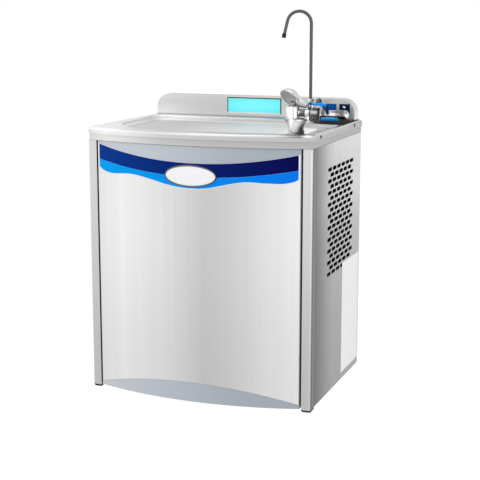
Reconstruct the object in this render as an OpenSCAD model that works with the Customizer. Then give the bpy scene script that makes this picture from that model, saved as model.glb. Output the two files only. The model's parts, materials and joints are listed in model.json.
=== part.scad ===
// Wall-mounted drinking fountain with a bubbler tap and a glass filler.
// Heights are written from the bottom of the cabinet, and at() moves them to the wall bracket's centre.
// X runs to the right, Y runs into the wall, and Z runs up.

/* [Cabinet] */
// Width across the two corner posts
cab_w = 450; // [430:5:480]
// Depth from the wall to the front of the corner posts
cab_d = 320; // [315:1:325]
// Height from the bottom of the cabinet to the lower edge of the deck
cab_h = 485; // [480:1:495]
// Thickness of the cabinet's sheet steel
sheet = 1.2; // [0.8:0.1:1.5]
// Width of a corner post seen from the front
post_w = 18.5; // [16:0.5:20]
// Depth of a corner post
post_d = 22; // [18:1:24]
// Height of the wall bracket's centre above the bottom of the cabinet
hang_z = 440; // [430:1:445]

/* [Bowed front] */
// How far the front panel bows out past the posts
panel_bow = 33; // [25:1:38]
// Height of the fascia's top edge in the middle
fascia_top = 454; // [450:1:458]
// How much higher the fascia's top edge is at its ends
fascia_top_rise = 23; // [18:1:24]
// Height of the fascia's bottom edge in the middle
fascia_low = 40; // [36:1:44]
// How much lower the fascia's bottom edge is at its ends
fascia_low_drop = 30; // [24:1:32]
// Height of the dark band in the middle
band_h = 23; // [18:1:26]

/* [Deck and basin] */
// Height of the deck's edge
deck_h = 25; // [22:1:28]
// Depth of the basin below the deck's rim
basin_h = 12; // [8:1:14]
// Thickness of the deck's sheet
deck_t = 1.5; // [1:0.1:2]
// Height of the splash panel above the deck
splash_h = 43; // [38:1:48]
// Depth of the splash panel
splash_d = 22; // [18:1:24]

/* [Side vents] */
// Length of a vent slot
slot_l = 25; // [14:1:26]
// Height of a vent slot
slot_h = 7.5; // [4:0.5:8]
// Spacing of the slots along a row
slot_step = 29.4; // [28:0.1:32]
// Spacing of the rows
row_step = 11.1; // [10:0.1:12]
// Number of rows
vent_rows = 19; // [7:2:19]

/* [Taps] */
// Place of the bubbler across and along the deck
bubbler_at = [169, -250]; // [-400:1:400]
// Place of the glass filler across and along the deck
filler_at = [144, -84]; // [-400:1:400]
// Outside radius of the gooseneck's tube
tube_r = 3.175; // [3:0.005:3.5]
// Height at which the gooseneck starts to bend
bend_z = 702; // [680:1:720]
// Radius of the gooseneck's bend at the middle of its tube
bend_r = 23.5; // [20:0.5:26]
// Angle that the gooseneck turns through
bend_angle = 167; // [150:1:180]
// Direction in which the gooseneck points, seen from above
spout_heading = 201; // [180:1:230]

/* [Hidden] */
$fn = 64;
eps = 0.01;
half_w = cab_w / 2;
deck_z = cab_h + deck_h;
floor_z = deck_z - basin_h;
pan_z = 2;
panel_half = half_w - post_w - 3.5;
front_y = -cab_d - 0.5;
panel_y = front_y - panel_bow;
panel_r = rise_radius(panel_half, panel_bow);
fascia_t = 1;
film_t = 0.4;
run_gap = 0.05;
deck_half = half_w + 2;
deck_y = panel_y - 3.5;
deck_r = 700;
deck_corner = 14;
basin_rear = -44;
basin_left = half_w - 19;
basin_right = half_w - 11;
basin_y = deck_y + 27;
ledge_at = [203, -33];
ledge_r = 92;
drain_at = [0, -278];
drop_at = [0, -45];
tank_at = [-118, -175];
tank_r = 65;
pump_at = [105, -190];
suction_y = -150;
liquid_y = -122;
dry_at = [178, -80];
duct = [140, -245, 232, 200, 208];
fan_at = [duct[1] + duct[3] / 2, duct[2] + duct[4] / 2];
inlet_at = [-150, -35];
gland_at = [-190, -35];
inlet_r = 10.48;
knob_at = [-140, -72, 375];
window_w = 118;
window_h = 32;
window_x = 2.5;
window_z = deck_z + 23.5;
sign_h = 17;
sign_z = deck_z + 23.5;
badge_x = 2;
badge_z = 431;
badge_half = [51.5, 20.2];
neck_z = floor_z + 45;
valve_x = bubbler_at[0] + 35;
valve_r = 10;
valve_top = floor_z + 55;
head_x = bubbler_at[0] - 6;
nut_x = head_x + 13.8;
pivot_z = valve_top + 4;
pivot_back = 9;
lever_heading = 20;
plunger_r = 2;
barrel_z = deck_z + 16;
hub_x = [filler_at[0] + 20.3, filler_at[0] + 64];
shank_bore = 3;
screw_y = [-281.6, -57.5];

// Radius of the arc that rises by rise over a half chord
function rise_radius(half, rise) = (half * half + rise * rise) / (2 * rise);

// Lower edge of the light band: a shallow wave that curls up at both ends
function wave_z(x) = badge_z - 11 - 9 * cos(360 * x / 236) - 0.013 * x
    + 16 * pow(max(0, (abs(x) - 172) / 26), 2);

// Points of an ellipse, anticlockwise
function ellipse(half, steps) = [for (i = [0:steps - 1])
    [half[0] * cos(360 * i / steps), half[1] * sin(360 * i / steps)]];

// Moves a height above the cabinet's bottom to a height above the bracket's centre
module at(p) translate([p[0], p[1], p[2] - hang_z]) children();

module block(p, size) at(p) cube(size);

module rod_x(p, len, r) at(p) rotate([0, 90, 0]) cylinder(h = len, r = r);

module rod_y(p, len, r) at(p) rotate([-90, 0, 0]) cylinder(h = len, r = r);

module rod_z(p, len, r) at(p) cylinder(h = len, r = r);

// Draws both of a left and right pair
module both_sides() {
    children();
    mirror([1, 0, 0]) children();
}

// A pipe that runs straight along X, Y or Z from each point to the next, round at its turns
module pipe_run(points, r) {
    for (i = [0:len(points) - 2]) {
        a = points[i];
        b = points[i + 1];
        d = b - a;
        low = [min(a[0], b[0]), min(a[1], b[1]), min(a[2], b[2])];
        if (abs(d[0]) > eps) rod_x(low, abs(d[0]), r);
        if (abs(d[1]) > eps) rod_y(low, abs(d[1]), r);
        if (abs(d[2]) > eps) rod_z(low, abs(d[2]), r);
        if (i > 0) at(a) sphere(r = r);
    }
}

// Area behind a bowed front, whose two front corners are rounded by arcs that meet the bow smoothly
module bowed_plan(left, right, apex, r, corner_left, corner_right, back) {
    centre = apex + r;
    left_in = left - corner_left;
    right_in = right - corner_right;
    left_y = centre - sqrt(pow(r - corner_left, 2) - left_in * left_in);
    right_y = centre - sqrt(pow(r - corner_right, 2) - right_in * right_in);
    left_t = left_in * r / (r - corner_left);
    right_t = right_in * r / (r - corner_right);
    intersection() {
        translate([0, centre]) circle(r = r, $fn = 256);
        translate([-left_t, apex - 1]) square([left_t + right_t, back - apex + 1]);
    }
    translate([-left_in, left_y]) circle(r = corner_left);
    translate([right_in, right_y]) circle(r = corner_right);
    translate([-left, left_y]) square([left, back - left_y]);
    translate([0, right_y]) square([right, back - right_y]);
}

// The deck's outline, drawn in by inset all round its front and sides
module deck_plan(inset, back) {
    bowed_plan(deck_half - inset, deck_half - inset, deck_y + inset, deck_r - inset,
               deck_corner - min(inset, 4), deck_corner - min(inset, 4), back);
}

// The basin's outline: a wide curve on the left, a squarer corner at the taps, and a raised tap ledge
module basin_plan(grow) {
    difference() {
        intersection() {
            bowed_plan(basin_left + grow, basin_right + grow, basin_y - grow, deck_r - 27 + grow,
                       150 + grow, 40 + grow, 0);
            translate([-basin_left - grow, -cab_d - 60])
                rounded_square(basin_left + basin_right + 2 * grow, cab_d + 60 + basin_rear + grow,
                               30 + grow);
        }
        translate(ledge_at) circle(r = ledge_r - grow);
        translate([ledge_at[0], ledge_at[1] - ledge_r + grow]) square([cab_w, cab_d]);
        translate([ledge_at[0] - ledge_r + grow, ledge_at[1]]) square([cab_w, cab_d]);
    }
}

// A rectangle with its low corner at the origin and four round corners
module rounded_square(w, h, r) {
    translate([r, 0]) square([w - 2 * r, h]);
    translate([0, r]) square([w, h - 2 * r]);
    for (x = [r, w - r], y = [r, h - r]) translate([x, y]) circle(r = r);
}

// A curved wall that follows the bowed front, from one radius to the next, between two heights
module bowed_wall(inner, outer, low, high) {
    at([0, front_y - panel_bow + panel_r, low]) linear_extrude(high - low) difference() {
        circle(r = outer, $fn = 256);
        circle(r = inner, $fn = 256);
        translate([-outer, -panel_r + 80]) square([2 * outer, 2 * outer]);
    }
}

// The part of a curved wall that lies behind a flat outline drawn in X and Z
module bowed_patch(inner, outer) {
    intersection() {
        bowed_wall(inner, outer, -20, cab_h + 20);
        at([0, front_y + 30, 0]) rotate([90, 0, 0]) linear_extrude(panel_bow + 80) children();
    }
}

// Everything above the fascia's top edge, drawn in X and Z
module above_fascia(drop) {
    r = rise_radius(panel_half, fascia_top_rise);
    translate([0, fascia_top - drop + r]) circle(r = r, $fn = 256);
}

// Everything above the lower edge of the dark band, drawn in X and Z
module above_dark_band() {
    r = rise_radius(panel_half, fascia_top_rise - 3);
    translate([0, fascia_top - band_h + r]) circle(r = r, $fn = 256);
}

module base_pan() {
    color("gainsboro") difference() {
        at([0, 0, pan_z]) linear_extrude(24) pan_plan(0);
        at([0, 0, pan_z + 1.5]) linear_extrude(30) pan_plan(1.5);
        rod_z([inlet_at[0], inlet_at[1], 0], 10, 11.5);
        rod_z([gland_at[0], gland_at[1], 0], 10, 7.6);
        rod_z([drop_at[0], drop_at[1], 0], 10, 16.3);
    }
}

module pan_plan(inset) {
    inner_r = panel_r - sheet - inset;
    intersection() {
        translate([0, panel_y + panel_r]) circle(r = inner_r, $fn = 256);
        translate([-panel_half + 2 + inset, panel_y]) square([2 * (panel_half - 2 - inset), cab_d]);
    }
    translate([-half_w + sheet + inset, -cab_d + post_d + inset])
        square([cab_w - 2 * (sheet + inset), cab_d - post_d - 13 - 2 * inset]);
}

// One vent slot with round ends, drawn in Y and Z
module slot() {
    square([slot_l - slot_h, slot_h], center = true);
    for (y = [-1, 1] * (slot_l - slot_h) / 2) translate([y, 0]) circle(r = slot_h / 2, $fn = 32);
}

// The whole field of vents: rows of six, with rows of five set between them
module vent_field() {
    first = -67.4 - 5 * slot_step;
    for (row = [0:vent_rows - 1]) {
        odd = row % 2;
        for (i = [0:5 - odd])
            translate([first + (i + odd / 2) * slot_step, 436 - row * row_step]) slot();
    }
}

module right_side() {
    low = pan_z;
    difference() {
        block([half_w - sheet, -cab_d + post_d + 1, low], [sheet, cab_d - post_d - 1, cab_h - low]);
        at([half_w - sheet - 1, 0, 0]) rotate([90, 0, 90]) linear_extrude(sheet + 2) vent_field();
    }
    block([half_w - 20, -sheet, low], [20, sheet, cab_h - low]);
}

module side_panel_left() {
    color("silver") mirror([1, 0, 0]) right_side();
}

module side_panel_right() {
    color("silver") right_side();
}

module post_plan(inset) {
    r = 6 - inset;
    translate([half_w - post_w + inset, -cab_d + inset]) difference() {
        square([post_w - 2 * inset, post_d - 2 * inset]);
        translate([post_w - 2 * inset - r, 0]) difference() {
            translate([0, -1]) square([r + 1, r + 1]);
            translate([0, r]) circle(r = r);
        }
    }
}

module corner_posts() {
    color("lightgray") both_sides() at([0, 0, 0.5]) linear_extrude(cab_h - 0.5) difference() {
        post_plan(0);
        post_plan(1.5);
    }
}

module post_caps() {
    color("dimgray") both_sides() {
        at([0, 0, -1.5]) linear_extrude(2) post_plan(0);
        at([0, 0, -3.5]) linear_extrude(2) post_plan(1.2);
        at([0, 0, 0.5]) linear_extrude(10) post_plan(1.5);
    }
}

module top_frame() {
    z = cab_h - 12;
    inner = half_w - sheet;
    color("gainsboro") {
        both_sides() {
            block([inner - 18, -cab_d + post_d, z], [18, cab_d - post_d - 13, 1.5]);
            block([inner - 1.5, -cab_d + post_d, z], [1.5, cab_d - post_d - 13, 12]);
        }
        block([-inner + 18, -31, z], [2 * inner - 36, 18, 1.5]);
    }
}

module back_panel() {
    inner = half_w - sheet;
    color("lightgray") difference() {
        block([-inner, -12, 4], [2 * inner, sheet, cab_h - 8]);
        for (row = [0:5], side = [-1, 1])
            at([side * 110, -13, 120 + 16 * row]) rotate([-90, 0, 0]) linear_extrude(4) {
                square([70, 5], center = true);
                for (x = [-35, 35]) translate([x, 0]) circle(r = 2.5, $fn = 32);
            }
    }
}

module wall_bracket() {
    color("gray") difference() {
        union() {
            block([-180, -2.5, hang_z - 30], [360, 2.5, 60]);
            block([-180, -8.5, hang_z + 27.5], [360, 8.5, 2.5]);
            block([-180, -8.5, hang_z + 27.5], [360, 2.3, 8.5]);
        }
        for (x = [-150, 150], z = [-15, 15]) rod_y([x, -5, hang_z + z], 10, 4.5);
    }
}

module hanger_bar() {
    color("darkgray") {
        block([-170, -12 + sheet, hang_z + 10], [340, 2, 29]);
        block([-170, -12 + sheet, hang_z + 36.5], [340, 7.2, 2.5]);
        block([-170, -6, hang_z + 30], [340, 2.4, 9]);
    }
}

module basin_deck() {
    lower = 12;
    color("whitesmoke") difference() {
        union() {
            at([0, 0, cab_h]) linear_extrude(lower) deck_plan(2, 0);
            at([0, 0, cab_h + lower]) linear_extrude(deck_h - lower) deck_plan(0, 0);
        }
        difference() {
            at([0, 0, cab_h - 1]) linear_extrude(deck_h + 1 - deck_t) deck_plan(2 + deck_t, -deck_t);
            at([0, 0, floor_z - deck_t]) linear_extrude(basin_h + 2) basin_plan(deck_t);
        }
        at([0, 0, floor_z]) linear_extrude(basin_h + 1) basin_plan(0);
        rod_z([drain_at[0], drain_at[1], floor_z - 5], 10, 22);
        rod_z([bubbler_at[0], bubbler_at[1], floor_z - 5], 10, 6.5);
        rod_z([filler_at[0], filler_at[1], deck_z - 5], 10, 6.5);
        both_sides() for (y = screw_y) rod_x([deck_half - 6, y, deck_z - 6.5], 8, 2 + run_gap);
    }
}

// Front outline of the splash panel, drawn in X and Z, round at its top corners
module splash_plan(inset) {
    w = 436 - 2 * inset;
    h = splash_h - inset;
    r = 28 - inset;
    translate([-w / 2, deck_z]) intersection() {
        translate([0, -h]) rounded_square(w, 2 * h, r);
        square([w, h]);
    }
}

module backsplash() {
    color("silver") difference() {
        at([0, 0, 0]) rotate([90, 0, 0]) linear_extrude(splash_d) splash_plan(0);
        at([0, 1, 0]) rotate([90, 0, 0]) linear_extrude(splash_d - sheet + 1) splash_plan(sheet);
        block([window_x - window_w / 2 + 1.5, -splash_d - 2, window_z - window_h / 2 + 1.5],
              [window_w - 3, 6, window_h - 3]);
    }
}

module display_bezel() {
    color("dimgray") difference() {
        block([window_x - window_w / 2, -splash_d - 1.4, window_z - window_h / 2],
              [window_w, 1.4, window_h]);
        block([window_x - window_w / 2 + 1.5, -splash_d - 2, window_z - window_h / 2 + 1.5],
              [window_w - 3, 6, window_h - 3]);
    }
}

module display_panel() {
    color("turquoise") block([window_x - window_w / 2 + 1.6, -splash_d - 0.8, window_z - window_h / 2 + 1.6],
                             [window_w - 3.2, 3, window_h - 3.2]);
}

module display_housing() {
    color("white") difference() {
        block([window_x - window_w / 2 - 2, -splash_d + sheet, window_z - window_h / 2 - 2],
              [window_w + 4, 15, window_h + 4]);
        block([window_x - window_w / 2 + 1.6, -splash_d, window_z - window_h / 2 + 1.6],
              [window_w - 3.2, 14, window_h - 3.2]);
    }
}

module sign_plate(x, w) {
    block([x - w / 2, -splash_d - 0.8, sign_z - sign_h / 2], [w, 0.8, sign_h]);
}

module sign_plate_left() {
    color("mediumblue") sign_plate(164.5, 29);
}

module sign_plate_right() {
    color("midnightblue") sign_plate(196, 22);
}

module front_base_panel() {
    color("lightslategray") {
        intersection() {
            bowed_wall(panel_r - sheet, panel_r, pan_z, cab_h - 0.3);
            block([-panel_half, panel_y - 5, -20], [2 * panel_half, 100, cab_h + 60]);
        }
        both_sides() block([panel_half - sheet, front_y + 0.2, pan_z], [sheet, 16, cab_h - 0.3 - pan_z]);
    }
}

module front_fascia() {
    r = rise_radius(panel_half, fascia_low_drop);
    color("gainsboro") bowed_patch(panel_r, panel_r + fascia_t) difference() {
        translate([-panel_half + 1, -20]) square([2 * panel_half - 2, cab_h + 20]);
        above_fascia(0);
        translate([0, fascia_low - r]) circle(r = r, $fn = 256);
    }
}

module band_dark() {
    color("navy") bowed_patch(panel_r + fascia_t, panel_r + fascia_t + film_t) difference() {
        intersection() {
            translate([-panel_half + 1.5, 400]) square([2 * panel_half - 3, cab_h - 400]);
            above_dark_band();
        }
        above_fascia(1);
    }
}

module band_light() {
    half = panel_half - 1.5;
    steps = 80;
    edge = [for (i = [0:steps]) [-half + 2 * half * i / steps, wave_z(-half + 2 * half * i / steps)]];
    color("dodgerblue") bowed_patch(panel_r + fascia_t, panel_r + fascia_t + film_t) difference() {
        polygon(concat(edge, [[half, cab_h], [-half, cab_h]]));
        above_dark_band();
    }
}

module badge_plan(inset) {
    translate([badge_x, badge_z]) polygon(ellipse(badge_half - [inset, inset], 64));
}

module badge_plate() {
    color("white") bowed_patch(panel_r + fascia_t + film_t, panel_r + fascia_t + film_t + 0.9)
        badge_plan(2.6);
}

module badge_rim() {
    color("dimgray") bowed_patch(panel_r + fascia_t + film_t, panel_r + fascia_t + film_t + 1.4)
        difference() {
            badge_plan(0);
            badge_plan(2.6);
        }
}

module side_plate() {
    color("white") at([half_w, -124, 15]) rotate([90, 0, 90]) linear_extrude(0.5) rounded_square(119, 225, 2);
}

module deck_screws() {
    color("gray") both_sides() for (y = screw_y) {
        rod_x([deck_half, y, deck_z - 6.5], 1.6, 3.8);
        rod_x([deck_half - 10, y, deck_z - 6.5], 10, 2);
    }
}

module bubbler_base() {
    color("lightgray") difference() {
        union() {
            rod_z([bubbler_at[0], bubbler_at[1], floor_z], 3, 18);
            rod_z([bubbler_at[0], bubbler_at[1], floor_z + 3], 10, 15.5);
        }
        rod_z([bubbler_at[0], bubbler_at[1], floor_z - 1], 20, 6.1);
    }
}

module bubbler_body() {
    x = bubbler_at[0];
    y = bubbler_at[1];
    profile = [[0, 13], [14, 13], [14.5, 18], [17, 25], [21.3, 31.5], [20.6, 34.5], [14, 36], [0, 36]];
    color("silver") difference() {
        union() {
            at([x, y, floor_z]) rotate_extrude() polygon(profile);
            rod_z([head_x, y, floor_z + 35], 19, 13.5);
            at([head_x, y, floor_z + 54]) cylinder(h = 4, r1 = 13.5, r2 = 10);
            rod_z([x, y, floor_z - 30], 44, 6);
            rod_x([head_x, y, neck_z], nut_x - head_x, 6);
        }
        rod_z([x, y, floor_z - 31], 76, shank_bore);
    }
}

// A mouth guard: a dome over the nozzle that is open to the front and below
module bubbler_guard() {
    size = 20.5;
    y = bubbler_at[1];
    color("silver") difference() {
        union() {
            at([bubbler_at[0] - 12, y, floor_z + 69]) difference() {
                sphere(r = size);
                sphere(r = size - 1.6);
                rotate([123, 0, -22]) translate([-30, -30, 0]) cube([60, 60, 40]);
                translate([-30, -30, -43]) cube([60, 60, 30]);
            }
            at([bubbler_at[0] + 2.5, y + 5, floor_z + 56]) rotate([90, 0, 0]) linear_extrude(10)
                polygon([[0, 0], [16, 0], [16, 7], [4, 17]]);
        }
        at([bubbler_at[0] - 12, y, floor_z + 69]) sphere(r = size - 1.6);
        at([head_x, y, floor_z + 54]) cylinder(h = 4, r1 = 13.5, r2 = 10);
    }
}

module bubbler_nozzle() {
    color("silver") difference() {
        at([head_x, bubbler_at[1] + 4, floor_z + 57.5]) rotate([35, 0, 0]) difference() {
            translate([0, 0, -4]) cylinder(h = 13, r = 4.5);
            translate([0, 0, 4]) cylinder(h = 10, r = 2.5);
        }
        block([head_x - 20, bubbler_at[1] - 20, floor_z + 48], [40, 40, 10]);
    }
}

module bubbler_union_nut() {
    color("dimgray") at([nut_x, bubbler_at[1], neck_z]) rotate([0, 90, 0])
        cylinder(h = bubbler_at[0] + 18 - nut_x, r = 8.1, $fn = 6);
}

// Places things at the valve's axis, with their X pointing the way that the lever points
module lever_frame(z) {
    at([valve_x, bubbler_at[1], z]) rotate([0, 0, lever_heading]) children();
}

// A cylinder across the lever, centred on the lever's pivot
module across(len, r) {
    translate([-pivot_back, -len / 2, 0]) rotate([-90, 0, 0]) cylinder(h = len, r = r);
}

module bubbler_valve() {
    y = bubbler_at[1];
    color("gray") difference() {
        union() {
            rod_x([bubbler_at[0] + 18, y, neck_z], 8, 6.8);
            rod_z([valve_x, y, floor_z + 32], valve_top - floor_z - 32, valve_r);
            rod_z([valve_x, y, floor_z + 29], 3, valve_r - 2.5);
            lever_frame(valve_top - 4) for (side = [-7, 4.3])
                translate([-pivot_back - 3.5, side, 0]) cube([7, 2.7, 14]);
        }
        rod_z([valve_x, y, floor_z + 34], 40, plunger_r + run_gap);
        lever_frame(pivot_z) across(20, 1.5);
    }
}

module bubbler_lever_pin() {
    color("silver") lever_frame(pivot_z) across(15, 1.5);
}

// The hub turns on its pin, the blade lies over the valve, and its end curls down
module bubbler_lever() {
    thick = 4.5;
    wide = 17;
    curl_x = 17;
    color("dodgerblue") lever_frame(pivot_z) difference() {
        union() {
            across(7.8, 3.4);
            translate([-pivot_back, -3.9, 0.5]) cube([9, 7.8, 2.9]);
            translate([-5, -wide / 2, 0.5]) cube([curl_x + 5, wide, thick]);
            translate([curl_x, wide / 2, -4]) rotate([90, 0, 0])
                rotate_extrude(angle = 90) translate([thick, 0]) square([thick, wide]);
            translate([curl_x + thick, -wide / 2, -16]) cube([thick, wide, 12]);
        }
        across(20, 1.5 + run_gap);
    }
}

module bubbler_lever_cap() {
    color("dimgray") lever_frame(pivot_z + 5) translate([8, 0, 0]) {
        cylinder(h = 4, r = 5.5);
        intersection() {
            translate([0, 0, 2.5]) sphere(r = 5.7);
            translate([-10, -10, 4]) cube([20, 20, 10]);
        }
    }
}

module bubbler_plunger() {
    low = floor_z + 45;
    color("silver") rod_z([valve_x, bubbler_at[1], low], pivot_z + 0.1 - low, plunger_r);
}

module bubbler_spring() {
    color("silver") difference() {
        rod_z([valve_x, bubbler_at[1], floor_z + 34], 10.7, plunger_r - 0.1);
        rod_z([valve_x, bubbler_at[1], floor_z + 33], 13, plunger_r - 0.7);
    }
}

module filler_body() {
    x = filler_at[0];
    y = filler_at[1];
    color("silver") difference() {
        union() {
            rod_z([x, y, deck_z], 3, 13);
            rod_z([x, y, deck_z + 3], 32, 11);
            at([x, y, deck_z + 35]) cylinder(h = 4, r1 = 11, r2 = 8);
            rod_z([x, y, deck_z - 40], 41, 6);
            rod_x([x, y, barrel_z], 20, 8);
            rod_x([x, y, barrel_z], hub_x[1] - x + 1, 5);
            rod_x([hub_x[1] + 0.3, y, barrel_z], 9, 9);
            at([hub_x[1] + 9.3, y, barrel_z]) rotate([0, 90, 0]) cylinder(h = 4, r1 = 9, r2 = 5.5);
        }
        rod_z([x, y, deck_z + 9], 40, tube_r + run_gap);
        rod_z([x, y, deck_z - 41], 52, shank_bore - 0.8);
    }
}

module filler_collar() {
    color("lightgray") difference() {
        rod_z([filler_at[0], filler_at[1], deck_z + 39], 7, 7);
        rod_z([filler_at[0], filler_at[1], deck_z + 38], 12, tube_r + 0.08);
    }
}

// The gooseneck's path: straight up, round its bend, then straight on to its tip
module gooseneck_path(r, low, tail) {
    at([filler_at[0], filler_at[1], low]) cylinder(h = bend_z - low + eps, r = r);
    at([filler_at[0], filler_at[1], bend_z]) rotate([0, 0, spout_heading]) {
        translate([bend_r, 0, 0]) rotate([90, 0, 0]) rotate([0, 0, 180 - bend_angle])
            rotate_extrude(angle = bend_angle) translate([bend_r, 0]) circle(r = r);
        translate([bend_r, 0, 0]) rotate([0, bend_angle - 180, 0]) translate([bend_r, 0, -tail])
            cylinder(h = tail + eps, r = r);
    }
}

module gooseneck() {
    color("gray") difference() {
        gooseneck_path(tube_r, deck_z + 9.3, 30);
        gooseneck_path(tube_r - 0.9, deck_z + 9, 31);
    }
}

module gooseneck_tip() {
    color("black") at([filler_at[0], filler_at[1], bend_z]) rotate([0, 0, spout_heading])
        translate([bend_r, 0, 0]) rotate([0, bend_angle - 180, 0]) translate([bend_r, 0, -34])
            difference() {
                cylinder(h = 9, r = 4.2);
                translate([0, 0, 4]) cylinder(h = 6, r = tube_r);
                translate([0, 0, -1]) cylinder(h = 6, r = tube_r - 0.9);
            }
}

module filler_lever_hub() {
    color("whitesmoke") difference() {
        rod_x([hub_x[0], filler_at[1], barrel_z], hub_x[1] - hub_x[0], 9);
        rod_x([hub_x[0] - 1, filler_at[1], barrel_z], hub_x[1] - hub_x[0] + 2, 5 + run_gap);
    }
}

module filler_paddle() {
    color("dodgerblue") difference() {
        block([hub_x[0] + 3.5, filler_at[1] - 8, barrel_z - 12.5], [35, 12, 7]);
        rod_x([hub_x[0], filler_at[1], barrel_z], 50, 9);
    }
}

module locknuts() {
    color("goldenrod") {
        difference() {
            rod_z([bubbler_at[0], bubbler_at[1], floor_z - deck_t - 6.5], 6.5, 14);
            rod_z([bubbler_at[0], bubbler_at[1], floor_z - 20], 30, 6);
        }
        difference() {
            rod_z([filler_at[0], filler_at[1], deck_z - deck_t - 6.5], 6.5, 12);
            rod_z([filler_at[0], filler_at[1], deck_z - 20], 30, 6);
        }
        difference() {
            rod_z([drain_at[0], drain_at[1], floor_z - deck_t - 10], 10, 29);
            rod_z([drain_at[0], drain_at[1], floor_z - 20], 30, 21.5);
        }
    }
}

module waste_body() {
    profile = [[14, -70], [16, -70], [16, -32], [21.5, -26], [21.5, 0], [26, 0], [26, 1.2],
               [19.5, 1.2], [19.5, -1], [17.5, -1], [17.5, -24], [14, -29]];
    color("lightgray") at([drain_at[0], drain_at[1], floor_z]) rotate_extrude() polygon(profile);
}

module waste_strainer() {
    color("silver") at([drain_at[0], drain_at[1], floor_z - 1]) difference() {
        cylinder(h = 1.6, r = 19.4);
        for (i = [0:5]) rotate([0, 0, 60 * i]) translate([7, 0, -1]) cylinder(h = 4, r = 2);
        for (i = [0:11]) rotate([0, 0, 30 * i]) translate([14, 0, -1]) cylinder(h = 4, r = 2);
    }
}

module drain_route(r, over) {
    z = floor_z - 90;
    pipe_run([[drain_at[0], drain_at[1], floor_z - 70 + over], [drain_at[0], drain_at[1], z],
              [drop_at[0], drop_at[1], z], [drop_at[0], drop_at[1], -26 - over]], r);
}

module drain_pipe() {
    color("white") difference() {
        union() {
            drain_route(15.6, 0);
            rod_z([drain_at[0], drain_at[1], floor_z - 90], 20, 16);
            rod_z([drop_at[0], drop_at[1], -26], 26.5, 16);
            rod_z([drop_at[0], drop_at[1], pan_z + 1.5], 8, 21);
        }
        drain_route(13.5, 1);
    }
}

module tank_insulation() {
    color("ivory") difference() {
        rod_z([tank_at[0], tank_at[1], pan_z + 1.5], 254.5, 88);
        rod_z([tank_at[0], tank_at[1], 25], 215, 70);
        rod_z([tank_at[0], tank_at[1], 200], 80, 6);
        rod_z([inlet_at[0], tank_at[1] + 25, 200], 80, 6);
        rod_x([tank_at[0] + 20, suction_y, 70], 90, 6);
        rod_x([tank_at[0] + 20, liquid_y, 100], 90, 3);
    }
}

module cold_tank() {
    color("silver") {
        difference() {
            rod_z([tank_at[0], tank_at[1], 25], 213, tank_r);
            rod_z([tank_at[0], tank_at[1], 26.2], 210.6, tank_r - 1.2);
            rod_z([tank_at[0], tank_at[1], 230], 10, 3);
            rod_z([inlet_at[0], tank_at[1] + 25, 230], 10, 3);
        }
        difference() {
            rod_z([tank_at[0], tank_at[1], 238], 29, 5);
            rod_z([tank_at[0], tank_at[1], 237], 31, 3);
        }
    }
}

module compressor() {
    profile = [[0, 0], [58, 0], [58, 84], [54, 96], [44, 105], [25, 111], [0, 112]];
    color("black") {
        at([pump_at[0], pump_at[1], 20]) rotate_extrude() polygon(profile);
        block([pump_at[0] - 75, pump_at[1] - 75, 17], [150, 150, 3]);
    }
}

module compressor_mounts() {
    color("dimgray") for (x = [-64, 64], y = [-64, 64])
        rod_z([pump_at[0] + x, pump_at[1] + y, pan_z + 1.5], 17 - pan_z - 1.5, 9);
}

module condenser_core() {
    fins = 22;
    y = duct[1] + 2;
    z = duct[2] + 2;
    high = duct[4] - 4;
    color("gainsboro") {
        for (i = [0:fins]) block([165, y + 4 + i * (duct[3] - 13) / fins, z], [34, 0.8, high]);
        for (k = [0:6], x = [174, 190]) rod_y([x, y, z + 15 + k * 29], duct[3] - 4, 4.5);
        for (side = [y, y + duct[3] - 5.5]) block([163, side, z], [38, 1.5, high]);
    }
}

module fan_duct() {
    long = half_w - sheet - duct[0];
    color("lightgray") difference() {
        block([duct[0], duct[1], duct[2]], [long, duct[3], duct[4]]);
        block([duct[0] + 1.5, duct[1] + 2, duct[2] + 2], [long, duct[3] - 4, duct[4] - 4]);
        rod_x([duct[0] - 1, fan_at[0], fan_at[1]], 5, 78);
        rod_z([dry_at[0], pump_at[1], duct[2] - 1], 5, 3.7);
        rod_z([dry_at[0], dry_at[1], duct[2] - 1], 5, 2.7);
    }
}

// The motor hangs on two bars that stand off the duct
module fan_motor() {
    color("dimgray") {
        difference() {
            union() {
                rod_x([90, fan_at[0], fan_at[1]], 30, 30);
                for (y = [-22, 12]) block([120, fan_at[0] + y, duct[2]], [3, 10, duct[4]]);
            }
            rod_x([106, fan_at[0], fan_at[1]], 20, 3 + run_gap);
        }
        for (y = [-22, 12], z = [duct[2], duct[2] + duct[4] - 6])
            block([123, fan_at[0] + y, z], [duct[0] - 123, 10, 6]);
    }
}

module fan_blade() {
    color("silver") {
        rod_x([107, fan_at[0], fan_at[1]], 20, 3);
        rod_x([126.5, fan_at[0], fan_at[1]], 11, 14);
        for (i = [0:4]) at([132, fan_at[0], fan_at[1]]) rotate([72 * i, 0, 0]) rotate([0, 0, 25])
            translate([-1, -14, 12]) cube([2, 28, 60]);
    }
}

module control_box() {
    color("whitesmoke") difference() {
        block([-190, -72, 330], [100, 60, 90]);
        block([-188, -70, 332], [96, 56, 86]);
        rod_y([knob_at[0], -75, knob_at[2]], 10, 3 + run_gap);
    }
}

module thermostat_knob() {
    color("black") {
        rod_y([knob_at[0], -85, knob_at[2]], 12.6, 14);
        rod_y([knob_at[0], -73, knob_at[2]], 8, 3);
        block([knob_at[0] - 2, -88, knob_at[2] - 12], [4, 4, 24]);
    }
}

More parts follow.
